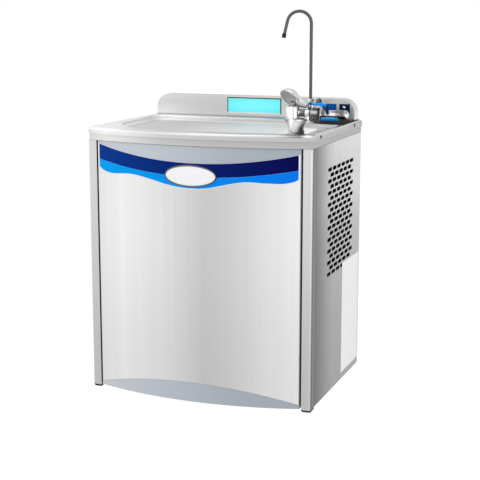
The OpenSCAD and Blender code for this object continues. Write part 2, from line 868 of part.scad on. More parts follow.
module inlet_valve() {
    x = inlet_at[0];
    y = inlet_at[1];
    color("goldenrod") difference() {
        union() {
            rod_z([x, y, -16], 20, inlet_r);
            rod_z([x, y, pan_z + 1.5], 42, 13);
            rod_y([x, y - 20, 28], 20, 8);
        }
        rod_z([x, y, -17], 63, 5);
        rod_y([x, y - 21, 28], 13.5, 3 + run_gap);
    }
}

module inlet_handle() {
    x = inlet_at[0];
    y = inlet_at[1];
    color("crimson") {
        rod_y([x, y - 29, 28], 8.5, 7);
        rod_y([x, y - 21, 28], 11, 3);
        block([x, y - 29, 23.5], [45, 5, 9]);
    }
}

module water_routes(r, over) {
    high = 464;
    feed_y = tank_at[1] + 25;
    pipe_run([[inlet_at[0], inlet_at[1], 45.5 - over], [inlet_at[0], inlet_at[1], 290],
              [inlet_at[0], feed_y, 290], [inlet_at[0], feed_y, 238 - over]], r);
    pipe_run([[tank_at[0], tank_at[1], 267 - over], [tank_at[0], tank_at[1], high],
              [filler_at[0], tank_at[1], high], [filler_at[0], filler_at[1], high],
              [filler_at[0], filler_at[1], deck_z - 40 + over]], r);
    pipe_run([[filler_at[0], tank_at[1], high], [bubbler_at[0], tank_at[1], high],
              [bubbler_at[0], bubbler_at[1], high],
              [bubbler_at[0], bubbler_at[1], floor_z - 30 + over]], r);
}

module cold_water_pipes() {
    color("sandybrown") difference() {
        water_routes(4, 0);
        water_routes(3, 1);
    }
}

// The evaporator sleeve round the tank, and the pipes between it, the compressor and the condenser
module refrigerant_lines() {
    sleeve_r = tank_r + 5;
    suction_x = tank_at[0] + sqrt(pow(sleeve_r, 2) - pow(suction_y - tank_at[1], 2)) - 1;
    liquid_x = tank_at[0] + sqrt(pow(sleeve_r, 2) - pow(liquid_y - tank_at[1], 2)) - 1;
    shell_x = pump_at[0] - sqrt(58 * 58 - pow(suction_y + 5 - pump_at[1], 2)) + 1;
    color("sandybrown") {
        difference() {
            rod_z([tank_at[0], tank_at[1], 60], 140, sleeve_r);
            rod_z([tank_at[0], tank_at[1], 59], 142, tank_r);
        }
        pipe_run([[125, pump_at[1], 131.4], [125, pump_at[1], 205], [dry_at[0], pump_at[1], 205],
                  [dry_at[0], pump_at[1], duct[2] + 2]], 3.5);
        pipe_run([[dry_at[0], dry_at[1], duct[2] + 2], [dry_at[0], dry_at[1], 100],
                  [dry_at[0], liquid_y, 100], [liquid_x, liquid_y, 100]], 2.5);
        rod_z([dry_at[0], dry_at[1], 125], 75, 10);
        difference() {
            rod_x([suction_x, suction_y, 70], shell_x - suction_x, 5);
            rod_z([pump_at[0], pump_at[1], 20], 84, 58);
        }
    }
}

module cord_gland() {
    x = gland_at[0];
    y = gland_at[1];
    color("black") difference() {
        union() {
            rod_z([x, y, pan_z - 9], 9, 10);
            rod_z([x, y, pan_z - 1], 4, 7.5);
            at([x, y, pan_z + 1.5]) cylinder(h = 6, r = 11, $fn = 6);
        }
        rod_z([x, y, -20], 60, 4);
    }
}

base_pan();
side_panel_left();
side_panel_right();
corner_posts();
post_caps();
top_frame();
back_panel();
wall_bracket();
hanger_bar();
basin_deck();
backsplash();
display_bezel();
display_panel();
display_housing();
sign_plate_left();
sign_plate_right();
front_base_panel();
front_fascia();
band_dark();
band_light();
badge_plate();
badge_rim();
side_plate();
deck_screws();
bubbler_base();
bubbler_body();
bubbler_guard();
bubbler_nozzle();
bubbler_union_nut();
bubbler_valve();
bubbler_lever();
bubbler_lever_cap();
bubbler_lever_pin();
bubbler_plunger();
bubbler_spring();
filler_body();
filler_collar();
gooseneck();
gooseneck_tip();
filler_lever_hub();
filler_paddle();
locknuts();
waste_body();
waste_strainer();
drain_pipe();
tank_insulation();
cold_tank();
compressor();
compressor_mounts();
condenser_core();
fan_duct();
fan_motor();
fan_blade();
control_box();
thermostat_knob();
inlet_valve();
inlet_handle();
cold_water_pipes();
refrigerant_lines();
cord_gland();
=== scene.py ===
"""Visible pieces of a wall-mounted drinking fountain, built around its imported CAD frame.

Pieces are shaped in millimetres, with heights from the cabinet's bottom, until they are finished.
Materials work in metres in the row frame, as their Object coordinates do.
"""

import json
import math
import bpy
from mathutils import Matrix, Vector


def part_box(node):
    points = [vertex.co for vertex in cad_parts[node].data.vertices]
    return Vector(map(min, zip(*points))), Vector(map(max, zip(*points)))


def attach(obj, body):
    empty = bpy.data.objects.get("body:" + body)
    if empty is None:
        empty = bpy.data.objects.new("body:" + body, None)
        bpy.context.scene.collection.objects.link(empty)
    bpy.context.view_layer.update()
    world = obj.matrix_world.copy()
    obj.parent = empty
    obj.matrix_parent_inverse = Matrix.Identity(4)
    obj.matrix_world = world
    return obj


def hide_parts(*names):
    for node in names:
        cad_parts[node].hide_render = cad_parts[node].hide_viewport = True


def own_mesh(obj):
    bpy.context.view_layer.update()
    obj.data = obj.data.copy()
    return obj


bl_info = {
    "name": "Wall Drinking Fountain",
    "version": (1, 0, 0),
    "blender": (4, 5, 0),
    "location": "View3D > Sidebar > Fountain",
    "description": "Builds the deck, bowed front, taps and finishes of a wall-mounted drinking fountain",
    "category": "Add Mesh",
}

from functools import cached_property

import bmesh
import bpy
from bpy.props import FloatProperty, FloatVectorProperty, IntProperty, PointerProperty
from mathutils import Matrix, Vector

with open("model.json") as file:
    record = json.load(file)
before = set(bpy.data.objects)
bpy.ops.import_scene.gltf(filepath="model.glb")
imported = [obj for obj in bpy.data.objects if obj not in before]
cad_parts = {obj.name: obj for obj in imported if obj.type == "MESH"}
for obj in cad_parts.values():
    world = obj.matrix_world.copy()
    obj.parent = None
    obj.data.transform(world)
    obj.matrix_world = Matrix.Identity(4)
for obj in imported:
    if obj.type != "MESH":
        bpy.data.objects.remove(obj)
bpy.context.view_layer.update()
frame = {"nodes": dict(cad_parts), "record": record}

MM = 0.001
# How far the row frame's origin, at the wall bolts, lies above the cabinet's bottom.
HANG = 440.0
SHARP = math.radians(32)
WHITE = (1, 1, 1, 1)
UNDOABLE = {"REGISTER", "UNDO"}
RIGHT, BACK, UP = Vector((1, 0, 0)), Vector((0, 1, 0)), Vector((0, 0, 1))


def cad_box(node):
    """A CAD node's lowest and highest corner in millimetres, counted from the bottom of the cabinet."""
    low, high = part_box(node)
    lift = Vector((0, 0, HANG))
    return low / MM + lift, high / MM + lift


def row_z(height):
    """A height above the cabinet's bottom in millimetres, as metres in the row frame."""
    return (height - HANG) * MM


def arc_radius(half, rise):
    """The radius of an arc of that half width and rise."""
    return (half**2 + rise**2) / (2 * rise)


def arc_drop(x, radius):
    """How far an arc has left the tangent at its apex, at x."""
    return radius - math.sqrt(radius**2 - x**2)


def quarter(steps):
    """Sine and cosine of the angles from 0 to 90 degrees, in equal steps."""
    return [(math.sin(a), math.cos(a)) for a in (math.pi / 2 * i / steps for i in range(steps + 1))]


# The deck, with its bowed front, and the panel below it, which is bowed more.
DECK_LOW, DECK_HIGH = cad_box("basin_deck")
DECK_HALF, DECK_TOP, DECK_APEX = DECK_HIGH.x, DECK_HIGH.z, DECK_LOW.y
DECK_RADIUS, DECK_CORNER = 700.0, 14
FLOOR = DECK_TOP - 12
PANEL_LOW, PANEL_HIGH = cad_box("front_base_panel")
PANEL_HALF, PANEL_APEX = PANEL_HIGH.x, PANEL_LOW.y
PANEL_RADIUS = arc_radius(PANEL_HALF, 33.0)
# The basin's plan, and the raised ledge that cuts into it for the glass filler.
LEDGE = Vector((203, -33))
LEDGE_RADIUS = 92.0
BASIN_LEFT, BASIN_RIGHT, BASIN_REAR, BASIN_RIM = 206.0, 214.0, -44.0, 27
LEFT_CORNER, RIGHT_CORNER, REAR_CORNER = 150, 40, 30
DRAIN = Vector((0, -278))
# Where the taps stand, the heights of their outlet, lever and barrel, and the way the lever points.
BUBBLER = Vector((169, -250))
OUTLET = FLOOR + 45
VALVE_X = BUBBLER.x + 35
LEVER_PIVOT = FLOOR + 59
LEVER_TURN = math.radians(20)
FILLER = Vector((144, -84))
BARREL = DECK_TOP + 16
# Half the width, in metres, over which the front's print and its painted light change.
PRINT_AND_PAINTED_LIGHT_HALF = 0.203


def metres(name, description, default, **limits):
    """A length in metres that a user may change."""
    return FloatProperty(name=name, description=description, default=default, unit="LENGTH", **limits)


def watts(name, description, default):
    """The power of a lamp that a user may change."""
    return FloatProperty(name=name, description=description, default=default, min=0, subtype="POWER")


def swatch(name, description, default):
    """A colour that a user may change."""
    return FloatVectorProperty(
        name=name, description=description, default=default, size=3, min=0, max=1, subtype="COLOR"
    )


class FountainSizes(bpy.types.PropertyGroup):
    """Sizes that a user may change without leaving the CAD frame."""

    deck_roll: metres("Deck roll", "Radius of the deck's rolled top edge", 0.006, min=0.002, max=0.010)
    splash_corner: metres("Splash corner", "Radius of the splash panel's top corners", 0.028, max=0.040)
    splash_roll: metres("Splash roll", "Radius of the splash panel's front edge", 0.0016, max=0.003)
    band_border: metres("Band border", "Height of the pale line under the light band", 0.0014, max=0.004)
    hood_radius: metres("Hood radius", "Radius of the bubbler's mouth guard", 0.0205, min=0.018, max=0.021)
    hood_wall: metres("Hood wall", "Thickness of the mouth guard's plate", 0.0015, min=0.0008, max=0.002)
    lever_width: metres("Lever width", "Width of the bubbler's press lever", 0.017, min=0.012, max=0.018)
    bend_radius: metres("Bend radius", "Radius of the gooseneck's bend", 0.0235, min=0.020, max=0.025)
    tube_wall: metres("Tube wall", "Thickness of the gooseneck's wall", 0.0008, min=0.0005, max=0.0015)
    spring_turns: IntProperty(
        name="Spring turns", description="Turns of the valve's coil", default=7, min=4, max=9
    )


class FountainColours(bpy.types.PropertyGroup):
    """Colours that a user may change."""

    dark_left: swatch("Dark band, left", "The dark band's colour at its left end", (0.0, 0.040, 0.28))
    dark_middle: swatch("Dark band, middle", "The dark band's colour in its middle", (0.0, 0.014, 0.16))
    dark_right: swatch("Dark band, right", "The dark band's colour at its right end", (0.0, 0.0, 0.07))
    light_left: swatch("Light band, left", "The light band's colour at its left end", (0.0, 0.36, 0.93))
    light_middle: swatch("Light band, middle", "The light band's colour in its middle", (0.0, 0.29, 0.90))
    light_right: swatch("Light band, right", "The light band's colour at its right end", (0.0, 0.19, 0.88))
    border: swatch("Band border", "The pale line under the light band", (0.86, 0.88, 0.92))
    badge: swatch("Badge", "The oval badge's plate", (0.94, 0.94, 0.96))
    base_tint: swatch("Base tint", "Laid over the blue-grey of the base panel", (1.0, 1.0, 1.0))
    side_plate: swatch("Side plate", "The bare plate low on the side", (0.95, 0.95, 0.96))
    left_sign: swatch("Left sign", "The left sign plate", (0.0, 0.10, 0.42))
    right_sign: swatch("Right sign", "The right sign plate", (0.0, 0.012, 0.055))
    display_edge: swatch("Display edge", "The lit window's colour at its ends", (0.10, 0.74, 0.80))
    display_middle: swatch("Display middle", "The lit window's colour in its middle", (0.20, 0.92, 0.98))
    # The lever's top and sides are a lit and a shaded copy of one blue, and its web's dark blue is painted
    # shade.
    lever_side: swatch("Lever side", "The press lever's sides", (0.006, 0.26, 0.86))
    lever_top: swatch("Lever top", "The press lever's top", (0.012, 0.44, 1.0))
    lever_web: swatch("Lever web", "The press lever's shaded web", (0.002, 0.055, 0.20))
    # The paddle's two blues are painted light, lighter towards its top.
    paddle_low: swatch("Paddle, low", "The filler paddle's lower part", (0.005, 0.22, 0.62))
    paddle_high: swatch("Paddle, high", "The filler paddle's upper part", (0.010, 0.36, 0.92))
    inlet_handle: swatch("Inlet handle", "The handle of the water inlet's valve", (0.55, 0.02, 0.02))


class FountainStudio(bpy.types.PropertyGroup):
    """Floor height and light levels that a user may change."""

    floor_height: metres("Floor height", "Height of the studio floor in the row frame", -0.88)
    surround: FloatProperty(
        name="Surround", description="Strength of the even light from all round", default=0.8, min=0, max=2
    )
    key_power: watts("Key", "Power of the lamp at the left front", 14)
    fill_power: watts("Fill", "Power of the lamp at the right front", 7)
    top_power: watts("Top", "Power of the lamp overhead", 9)


class Value:
    """A socket in a sum: Python's operators add Math nodes to its tree."""

    def __init__(self, nodes, socket):
        self.nodes, self.socket = nodes, socket

    def _math(self, operation, *terms):
        node = self.nodes.node("ShaderNodeMath", {"operation": operation}, dict(enumerate(terms)))
        return Value(self.nodes, node.outputs[0])

    def __add__(self, other):
        return self._math("ADD", self, other)

    def __sub__(self, other):
        return self._math("SUBTRACT", self, other)

    def __rsub__(self, other):
        return self._math("SUBTRACT", other, self)

    def __mul__(self, other):
        return self._math("MULTIPLY", self, other)

    __radd__ = __add__
    __rmul__ = __mul__

    def between(self, low, high, soft=False):
        """0 below low and 1 above high, with a straight or a soft slope."""
        slope = {"interpolation_type": "SMOOTHSTEP" if soft else "LINEAR", "clamp": True}
        node = self.nodes.node("ShaderNodeMapRange", slope, {0: self, 1: low, 2: high})
        return Value(self.nodes, node.outputs[0])

    def band(self, low, full, fall, high, soft=False):
        """1 from full to fall, sloping to 0 at low and at high."""
        return self.between(low, full, soft) * (1 - self.between(fall, high, soft))


class Nodes:
    """A node tree under construction."""

    def __init__(self, tree):
        self.tree = tree
        tree.nodes.clear()

    def node(self, kind, settings=None, inputs=None):
        """One node of that kind, with its settings made first and then the values or links of its sockets."""
        node = self.tree.nodes.new(kind)
        for key, value in (settings or {}).items():
            if key == "stops":
                self._stops(node.color_ramp, value)
            else:
                setattr(node, key, value)
        for key, value in (inputs or {}).items():
            self.feed(node.inputs[key], value)
        return node

    @staticmethod
    def _stops(ramp, stops):
        while len(ramp.elements) < len(stops):
            ramp.elements.new(1.0)
        for element, (position, colour) in zip(ramp.elements, stops):
            element.position = position
            element.color = opaque(colour)

    def mixed(self, factor, first, second):
        """Two shaders mixed by a factor."""
        sockets = {0: factor, 1: first.outputs[0], 2: second.outputs[0]}
        return self.node("ShaderNodeMixShader", {}, sockets).outputs[0]

    def feed(self, socket, value):
        """Links a socket to a value, or sets it."""
        if isinstance(value, Value):
            value = value.socket
        if isinstance(value, bpy.types.NodeSocket):
            self.tree.links.new(value, socket)
        else:
            socket.default_value = value


def opaque(colour):
    """A grey or a colour as a colour with full alpha; a socket stays as it is."""
    if isinstance(colour, bpy.types.NodeSocket):
        return colour
    return (*((colour,) * 3 if isinstance(colour, (int, float)) else colour[:3]), 1)


class Finish(Nodes):
    """A material under construction. Sockets are named with underscores for their spaces."""

    def __init__(self, name, **sockets):
        self.material = bpy.data.materials.new(name)
        self.material.use_nodes = True
        super().__init__(self.material.node_tree)
        self.bsdf = self.principled(sockets)
        self.output = self.node("ShaderNodeOutputMaterial", {}, {"Surface": self.bsdf.outputs[0]})
        self.coordinates = self.node("ShaderNodeTexCoord").outputs

    def principled(self, sockets):
        """A Principled shader with those sockets."""
        return self.node("ShaderNodeBsdfPrincipled", {}, {k.replace("_", " "): v for k, v in sockets.items()})

    def axes(self, output):
        """X, Y and Z of one of the texture coordinates."""
        split = self.node("ShaderNodeSeparateXYZ", {}, {0: self.coordinates[output]})
        return [Value(self, socket) for socket in split.outputs]

    @cached_property
    def place(self):
        """X, Y and Z of a point, in metres."""
        return self.axes("Object")

    @cached_property
    def facing(self):
        """X, Y and Z of the way a surface faces."""
        return self.axes("Normal")

    def attribute(self, name):
        """A number that the piece's points carry."""
        return Value(self, self.node("ShaderNodeAttribute", {"attribute_name": name}).outputs["Fac"])

    def noise(self, scale, stretch=(1, 1, 1), detail=3.0, roughness=0.5):
        """Noise over Object coordinates, stretched along each axis by one over its factor."""
        place = self.node("ShaderNodeMapping", {}, {"Vector": self.coordinates["Object"], "Scale": stretch})
        sockets = {"Vector": place.outputs[0], "Scale": scale, "Detail": detail, "Roughness": roughness}
        return Value(self, self.node("ShaderNodeTexNoise", {}, sockets).outputs[0])

    def ramp(self, value, stops):
        """A colour that follows a value through stops of (position, grey or colour)."""
        return self.node("ShaderNodeValToRGB", {"stops": stops}, {0: value}).outputs[0]

    def grey(self, value, stops):
        """A number that follows a value through stops of (position, grey)."""
        split = self.node("ShaderNodeSeparateColor", {}, {0: self.ramp(value, stops)})
        return Value(self, split.outputs[0])

    def mix(self, factor, a, b, blend="MIX"):
        """Two colours mixed by a factor."""
        settings = {"data_type": "RGBA", "blend_type": blend}
        return self.node("ShaderNodeMix", settings, {0: factor, 6: opaque(a), 7: opaque(b)}).outputs[2]

    def shade(self, colour, grey):
        """A colour dimmed by a grey value."""
        as_colour = self.node("ShaderNodeCombineColor", {}, {0: grey, 1: grey, 2: grey}).outputs[0]
        return self.mix(1.0, colour, as_colour, "MULTIPLY")

    def bump(self, height, distance, strength=1.0):
        """Feeds a bump made from a height to the shader's normal."""
        sockets = {"Height": height, "Distance": distance, "Strength": strength}
        self.set(Normal=self.node("ShaderNodeBump", {}, sockets).outputs[0])

    def lay(self, factor, shader):
        """Lays a second shader over the first by a factor."""
        mixed = self.mixed(factor, self.bsdf, shader)
        self.feed(self.output.inputs["Surface"], mixed)

    def set(self, **sockets):
        """Feeds sockets of the shader."""
        for key, value in sockets.items():
            self.feed(self.bsdf.inputs[key.replace("_", " ")], value)


def plain(name, colour, metallic=0.0, roughness=0.5, grain=(60.0, 0.06), bump=(400.0, 0.00004), level=0.5):
    """A painted, moulded or cast finish; grain is the mottling's scale and depth, and bump the surface's."""
    f = Finish(name, Metallic=metallic, Specular_IOR_Level=level)
    mottle = f.noise(grain[0])
    f.set(
        Base_Color=f.shade(colour, 1 - grain[1] + mottle * (2 * grain[1])),
        Roughness=roughness + (mottle - 0.5) * 0.12,
    )
    f.bump(f.noise(bump[0], detail=2), bump[1])
    return f.material


def brushed(name, tone, along="z", streak=0.05, roughness=0.3):
    """Brushed steel whose grain runs along one axis; tone is called with the finish and gives its grey of
    painted reflections and shade.
    """
    f = Finish(name, Metallic=1.0)
    stretch = tuple(0.012 if axis == along else 1.0 for axis in "xyz")
    fine = f.noise(900.0, stretch, detail=2, roughness=0.6)
    broad = f.noise(90.0, stretch, detail=2)
    patch = f.noise(9.0, (1, 1, 0.4), detail=1)
    grain = 1 - 2 * streak + fine * streak + broad * streak * 2 + patch * streak
    f.set(Base_Color=f.shade(WHITE, tone(f) * grain), Roughness=roughness + (fine - 0.5) * 0.16)
    f.bump(fine, 0.00002, 0.5)
    return f.material


def polished(name, tone, tint=WHITE):
    """Polished plate with painted reflections of a studio's soft bands; tone is called with the finish and
    gives its grey.
    """
    f = Finish(name, Metallic=1.0)
    smudge = f.noise(45.0, detail=4)
    f.set(Base_Color=f.shade(tint, tone(f) * (0.96 + smudge * 0.08)), Roughness=0.14 + smudge * 0.1)
    return f.material


def film(name, left, middle, right):
    """A printed film whose colour changes from left to right."""
    f = Finish(name, Specular_IOR_Level=0.05)
    ink = f.ramp(f.place[0].between(-PRINT_AND_PAINTED_LIGHT_HALF, PRINT_AND_PAINTED_LIGHT_HALF), [(0.0, left), (0.5, middle), (1.0, right)])
    f.set(Base_Color=f.shade(ink, 0.97 + f.noise(120.0) * 0.06), Roughness=0.3 + f.noise(30.0) * 0.1)
    return f.material


def front_painted_reflection(f):
    """Painted reflections: light at both sides of the bowed front and darker right of its middle, and painted
    a little darker low down.
    """
    x, _, z = f.place
    across = f.grey(
        x.between(-PRINT_AND_PAINTED_LIGHT_HALF, PRINT_AND_PAINTED_LIGHT_HALF),
        [(0.0, 0.78), (0.14, 0.86), (0.36, 0.75), (0.57, 0.59), (0.68, 0.62), (0.86, 0.76), (1.0, 0.85)],
    )
    return across * (0.88 + 0.12 * z.between(row_z(40), row_z(380), True))


def side_painted_light(f):
    """Painted light: dark beside the corner post and low down, lighter towards the wall and the deck, and
    painted shade on the inner faces.
    """
    x, y, z = f.place
    outer = (f.facing[0] * x).between(-0.15, -0.05)
    along = f.grey(
        y.between(-0.298, 0.0),
        [(0.0, 0.16), (0.07, 0.22), (0.16, 0.32), (0.25, 0.43), (0.4, 0.52), (0.73, 0.56), (1.0, 0.57)],
    )
    up = f.grey(
        z.between(row_z(0), row_z(500)),
        [(0.0, 0.42), (0.3, 0.47), (0.45, 0.53), (0.6, 0.62), (0.68, 0.70), (0.76, 0.85), (0.88, 0.85),
         (1.0, 0.95)],
    )
    return along * up * (0.15 + outer * 1.25)


def post_painted_light(f):
    """Painted light: lighter at the top and darker at the bottom, with a painted highlight on the corner and
    painted shade on the outer side.
    """
    nx, z = f.facing[0], f.place[2]
    up = 0.50 + 0.17 * z.between(row_z(0), row_z(480), True)
    outward = (nx * nx).between(0.05, 0.98)
    return up * f.grey(outward, [(0.0, 1.0), (0.25, 1.2), (0.55, 0.8), (0.8, 0.35), (1.0, 0.26)])


def splash_painted_light(f):
    """Painted light: mid grey that pales downwards, with a painted shadow along its foot."""
    x, _, z = f.place
    share = x.between(-0.22, 0.22)
    across = f.grey(share, [(0.0, 0.66), (0.12, 0.60), (0.3, 0.56), (0.6, 0.60), (1.0, 0.66)])
    down = 1.22 - 0.46 * z.between(row_z(512), row_z(556))
    return across * (0.55 + 0.45 * z.between(row_z(510.5), row_z(513.5))) * down


def ledge_share(f):
    """1 on the raised tap ledge, which is a disc with a strip to the right side, and 0 elsewhere."""
    x, y, z = f.place
    dx, dy = x - LEDGE.x * MM, y - LEDGE.y * MM
    reach = LEDGE_RADIUS * MM
    off_disc = (dx * dx + dy * dy).between((reach - 0.006) ** 2, (reach - 0.001) ** 2)
    strip = x.between(LEDGE.x * MM - 0.001, LEDGE.x * MM + 0.001)
    strip = strip * y.between(LEDGE.y * MM - reach + 0.001, LEDGE.y * MM - reach + 0.006)
    return (1 - off_disc * (1 - strip)) * z.between(row_z(DECK_TOP - 0.6), row_z(DECK_TOP - 0.2))


def deck_steel(name, colours):
    """Finely polished steel in painted light: a pale roll, a greyer skirt and basin, and a painted dark
    reflection of the studio on the tap ledge.
    """
    f = Finish(name, Metallic=1.0, Specular_Tint=(0.84, 0.84, 0.84, 1))
    x, y, z = f.place
    nx, _, nz = f.facing
    share = x.between(-0.229, 0.229)
    near = 1 - y.between(-0.27, -0.22, True)
    # What faces up: the basin's floor and the rim round it, in painted reflections that are lighter and
    # darker across the deck, with a painted dark streak in the basin near its right side and a painted dark
    # reflection on the rim at the right front.
    shadow = x.band(0.166, 0.173, 0.187, 0.194, True) * y.between(-0.19, -0.17)
    basin = (1 - shadow * 0.5) * f.grey(
        share, [(0.0, 0.66), (0.2, 0.58), (0.35, 0.62), (0.55, 0.72), (0.74, 0.76), (0.82, 0.96), (1.0, 1.0)]
    )
    front_rim = f.grey(
        share,
        [(0.0, 1.0), (0.16, 0.94), (0.24, 0.72), (0.4, 0.66), (0.55, 0.74), (0.74, 0.66), (0.85, 0.60),
         (0.885, 0.40), (0.913, 0.22), (0.94, 0.10), (0.955, 0.5), (0.965, 0.8), (1.0, 0.55)],
    )
    far_rim = f.grey(share, [(0.0, 0.92), (0.2, 0.7), (0.45, 0.56), (0.6, 0.74), (0.8, 0.80), (1.0, 0.66)])
    rim = far_rim + (front_rim - far_rim) * near
    high = z.between(row_z(DECK_TOP - 5), row_z(DECK_TOP - 1), True)
    top = basin + (rim - basin) * high
    # The rolled edge: a painted highlight, darker at the right front and a quarter darker along the sides
    # towards the back.
    lip = f.grey(
        share,
        [(0.0, 1.0), (0.12, 1.0), (0.2, 0.76), (0.32, 0.64), (0.5, 0.70), (0.7, 0.66), (0.84, 0.58),
         (0.885, 0.42), (0.913, 0.25), (0.94, 0.14), (0.955, 0.5), (0.965, 0.8), (1.0, 0.60)],
    )
    lip = lip * (1 - y.between(-0.120, -0.052) * 0.25)
    # The skirt, in painted reflections, with painted shade below its fold and on its underside.
    skirt = f.grey(share, [(0.0, 0.76), (0.1, 0.86), (0.22, 0.78), (0.38, 0.62), (0.6, 0.57), (1.0, 0.55)])
    fold = z.between(row_z(496.4), row_z(497.6))
    skirt = (skirt + (nx * nx).between(0.5, 0.9) * 0.05) * (0.94 + 0.06 * fold)
    under = 1 - 0.55 * (1 - nz.between(-0.7, -0.2)) * (1 - z.between(row_z(488), row_z(490)))
    facing = nz.between(0.45, 0.95, True)
    roll = nz.between(0.1, 0.4, True) * (1 - facing)
    tone = skirt + (top - skirt) * facing
    tone = (tone + (lip - tone) * roll * z.between(row_z(500), row_z(502))) * under
    # The line where the basin's wall starts, darkened as painted shade, with a painted blue-green reflection
    # of the lit window for a stretch at the far side.
    edge = f.attribute("edge")
    line = f.grey(share, [(0.0, 0.05), (0.3, 0.14), (0.45, 0.3), (0.58, 0.66), (0.8, 0.66), (1.0, 0.3)])
    display_reflection = edge * x.band(0.03, 0.05, 0.115, 0.135) * (1 - near * 0.2)
    fine = f.noise(900.0, (0.012, 1, 1), detail=2, roughness=0.6)
    broad = f.noise(60.0, (0.05, 1, 1), detail=2)
    tone = tone * (0.97 + fine * 0.04 + broad * 0.02) * (1 - edge * line * (0.3 + near * 0.7))
    f.set(
        Base_Color=f.shade(f.mix(display_reflection, WHITE, (0.45, 0.86, 0.95)), tone),
        Roughness=0.22 + (fine - 0.5) * 0.1 + (1 - high) * 0.4,
    )
    f.bump(fine, 0.00001, 0.4)
    # A near-black sheet laid over the tap ledge: a painted dark reflection and contact shadow.
    dark = {"Base_Color": (0.008, 0.010, 0.013, 1), "Roughness": 0.7, "Specular_IOR_Level": 0.08}
    f.lay(ledge_share(f) * 0.97, f.principled(dark))
    return f.material


def sideways(f):
    """0 where a surface faces the left and a little back, 1 where it faces the right and a little back."""
    nx, ny, _ = f.facing
    return (nx * 0.933 + ny * 0.36).between(-1.0, 1.0)


def body_painted_reflection(f):
    """The bubbler's casting in painted reflections: a pale head, and below it a goblet whose right side is
    painted in shade; painted darker where it faces up.
    """
    z, nz = f.place[2], f.facing[2]
    across = sideways(f)
    head = f.grey(
        across,
        [(0.0, 0.84), (0.08, 0.92), (0.2, 1.0), (0.42, 1.0), (0.5, 0.62), (0.6, 0.78), (0.8, 0.62),
         (1.0, 0.40)],
    )
    drift = 0.45 * (1 - z.between(row_z(500), row_z(533)))
    goblet = f.grey(
        (across + drift) * (1 / 1.45),
        [(0.0, 0.48), (0.07, 0.22), (0.14, 0.42), (0.24, 0.95), (0.34, 0.62), (0.43, 0.74), (0.53, 0.62),
         (0.6, 0.44), (0.65, 0.12), (0.8, 0.09), (1.0, 0.18)],
    )
    tone = goblet + (head - goblet) * z.between(row_z(532.5), row_z(534.5))
    return tone * (1 - 0.25 * nz.between(0.3, 1.0))


def valve_painted_reflection(f):
    """The side valve in painted reflections: dark, with a paler belt round it and a painted highlight on its
    neck.
    """
    x, _, z = f.place
    belt = z.band(row_z(541), row_z(543.5), row_z(547), row_z(549.5), True)
    across = sideways(f)
    low = f.grey(across, [(0.0, 0.22), (0.2, 0.13), (0.45, 0.08), (0.7, 0.05), (0.85, 0.03), (1.0, 0.08)])
    mid = f.grey(across, [(0.0, 0.60), (0.2, 0.34), (0.45, 0.62), (0.6, 0.34), (0.75, 0.14), (1.0, 0.12)])
    tone = low + (mid - low) * belt
    return tone + (0.85 - tone) * (1 - x.between(0.1945, 0.1955))


def barrel_painted_reflection(f):
    """The filler's barrel in painted reflections: a white belt along its front, painted dark below, beside
    the body and near its end.
    """
    x, nz = f.place[0], f.facing[2]
    belt = f.grey(
        nz.between(-1.0, 1.0),
        [(0.0, 0.04), (0.16, 0.08), (0.26, 0.60), (0.36, 0.98), (0.54, 0.96), (0.66, 0.5), (0.8, 0.30),
         (1.0, 0.5)],
    )
    end = x.between(0.192, 0.200) * (1 - 0.8 * x.between(0.213, 0.216))
    return belt * (1 - 0.62 * end) * (1 - 0.7 * x.band(0.1665, 0.1695, 0.174, 0.177))


def painted_reflection_bands(dark, light):
    """Painted reflections: soft bands between two greys that follow the way a surface faces, painted darker
    where it faces down.
    """
    mid = (dark + light) / 2
    stops = [(0.0, mid), (0.15, light), (0.35, light * 0.9), (0.5, mid), (0.65, dark * 1.5), (0.78, dark),
             (1.0, mid)]
    return lambda f: f.grey(sideways(f), stops) * (0.55 + 0.45 * f.facing[2].between(-0.8, 0.2))


def hood_chrome(name, colours):
    """The hood's plate in painted reflections: pale outside, with a painted shaded inside."""
    f = Finish(name, Metallic=1.0)
    level = f.facing[2].between(-1.0, 1.0)
    inner = f.attribute("inner")
    outside = f.grey(level, [(0.0, 0.40), (0.45, 0.52), (0.7, 0.66), (0.9, 0.62), (1.0, 0.70)])
    inside = f.grey(level, [(0.0, 0.26), (0.3, 0.32), (0.6, 0.38), (1.0, 0.42)])
    f.set(
        Base_Color=f.shade((0.97, 0.98, 1.0), outside + (inside - outside) * inner),
        Roughness=0.26 + f.noise(40.0) * 0.1,
    )
    # The inside is laid over in matt grey as painted shade.
    matt = {"Base_Color": (0.62, 0.625, 0.63, 1), "Roughness": 0.6, "Specular_IOR_Level": 0.2}
    f.lay(inner * 0.8, f.principled(matt))
    return f.material


def lever_enamel(name, colours):
    """Gloss lever, painted lighter where it faces up, with its web below painted in shade and its curled end
    in black.
    """
    f = Finish(name, Specular_IOR_Level=0.15)
    x, y, z = f.place
    along = (x - VALVE_X * MM) * math.cos(LEVER_TURN) + (y - BUBBLER.y * MM) * math.sin(LEVER_TURN)
    web = 1 - z.between(row_z(LEVER_PIVOT - 1.5), row_z(LEVER_PIVOT + 0.3))
    lit = f.mix(f.facing[2].between(-0.2, 0.6), colours.lever_side, colours.lever_top)
    lit = f.mix(web, lit, colours.lever_web)
    f.set(
        Base_Color=f.mix(along.between(0.0195, 0.0225), lit, (0.004, 0.006, 0.012)),
        Roughness=0.26 + f.noise(60.0) * 0.08,
    )
    return f.material


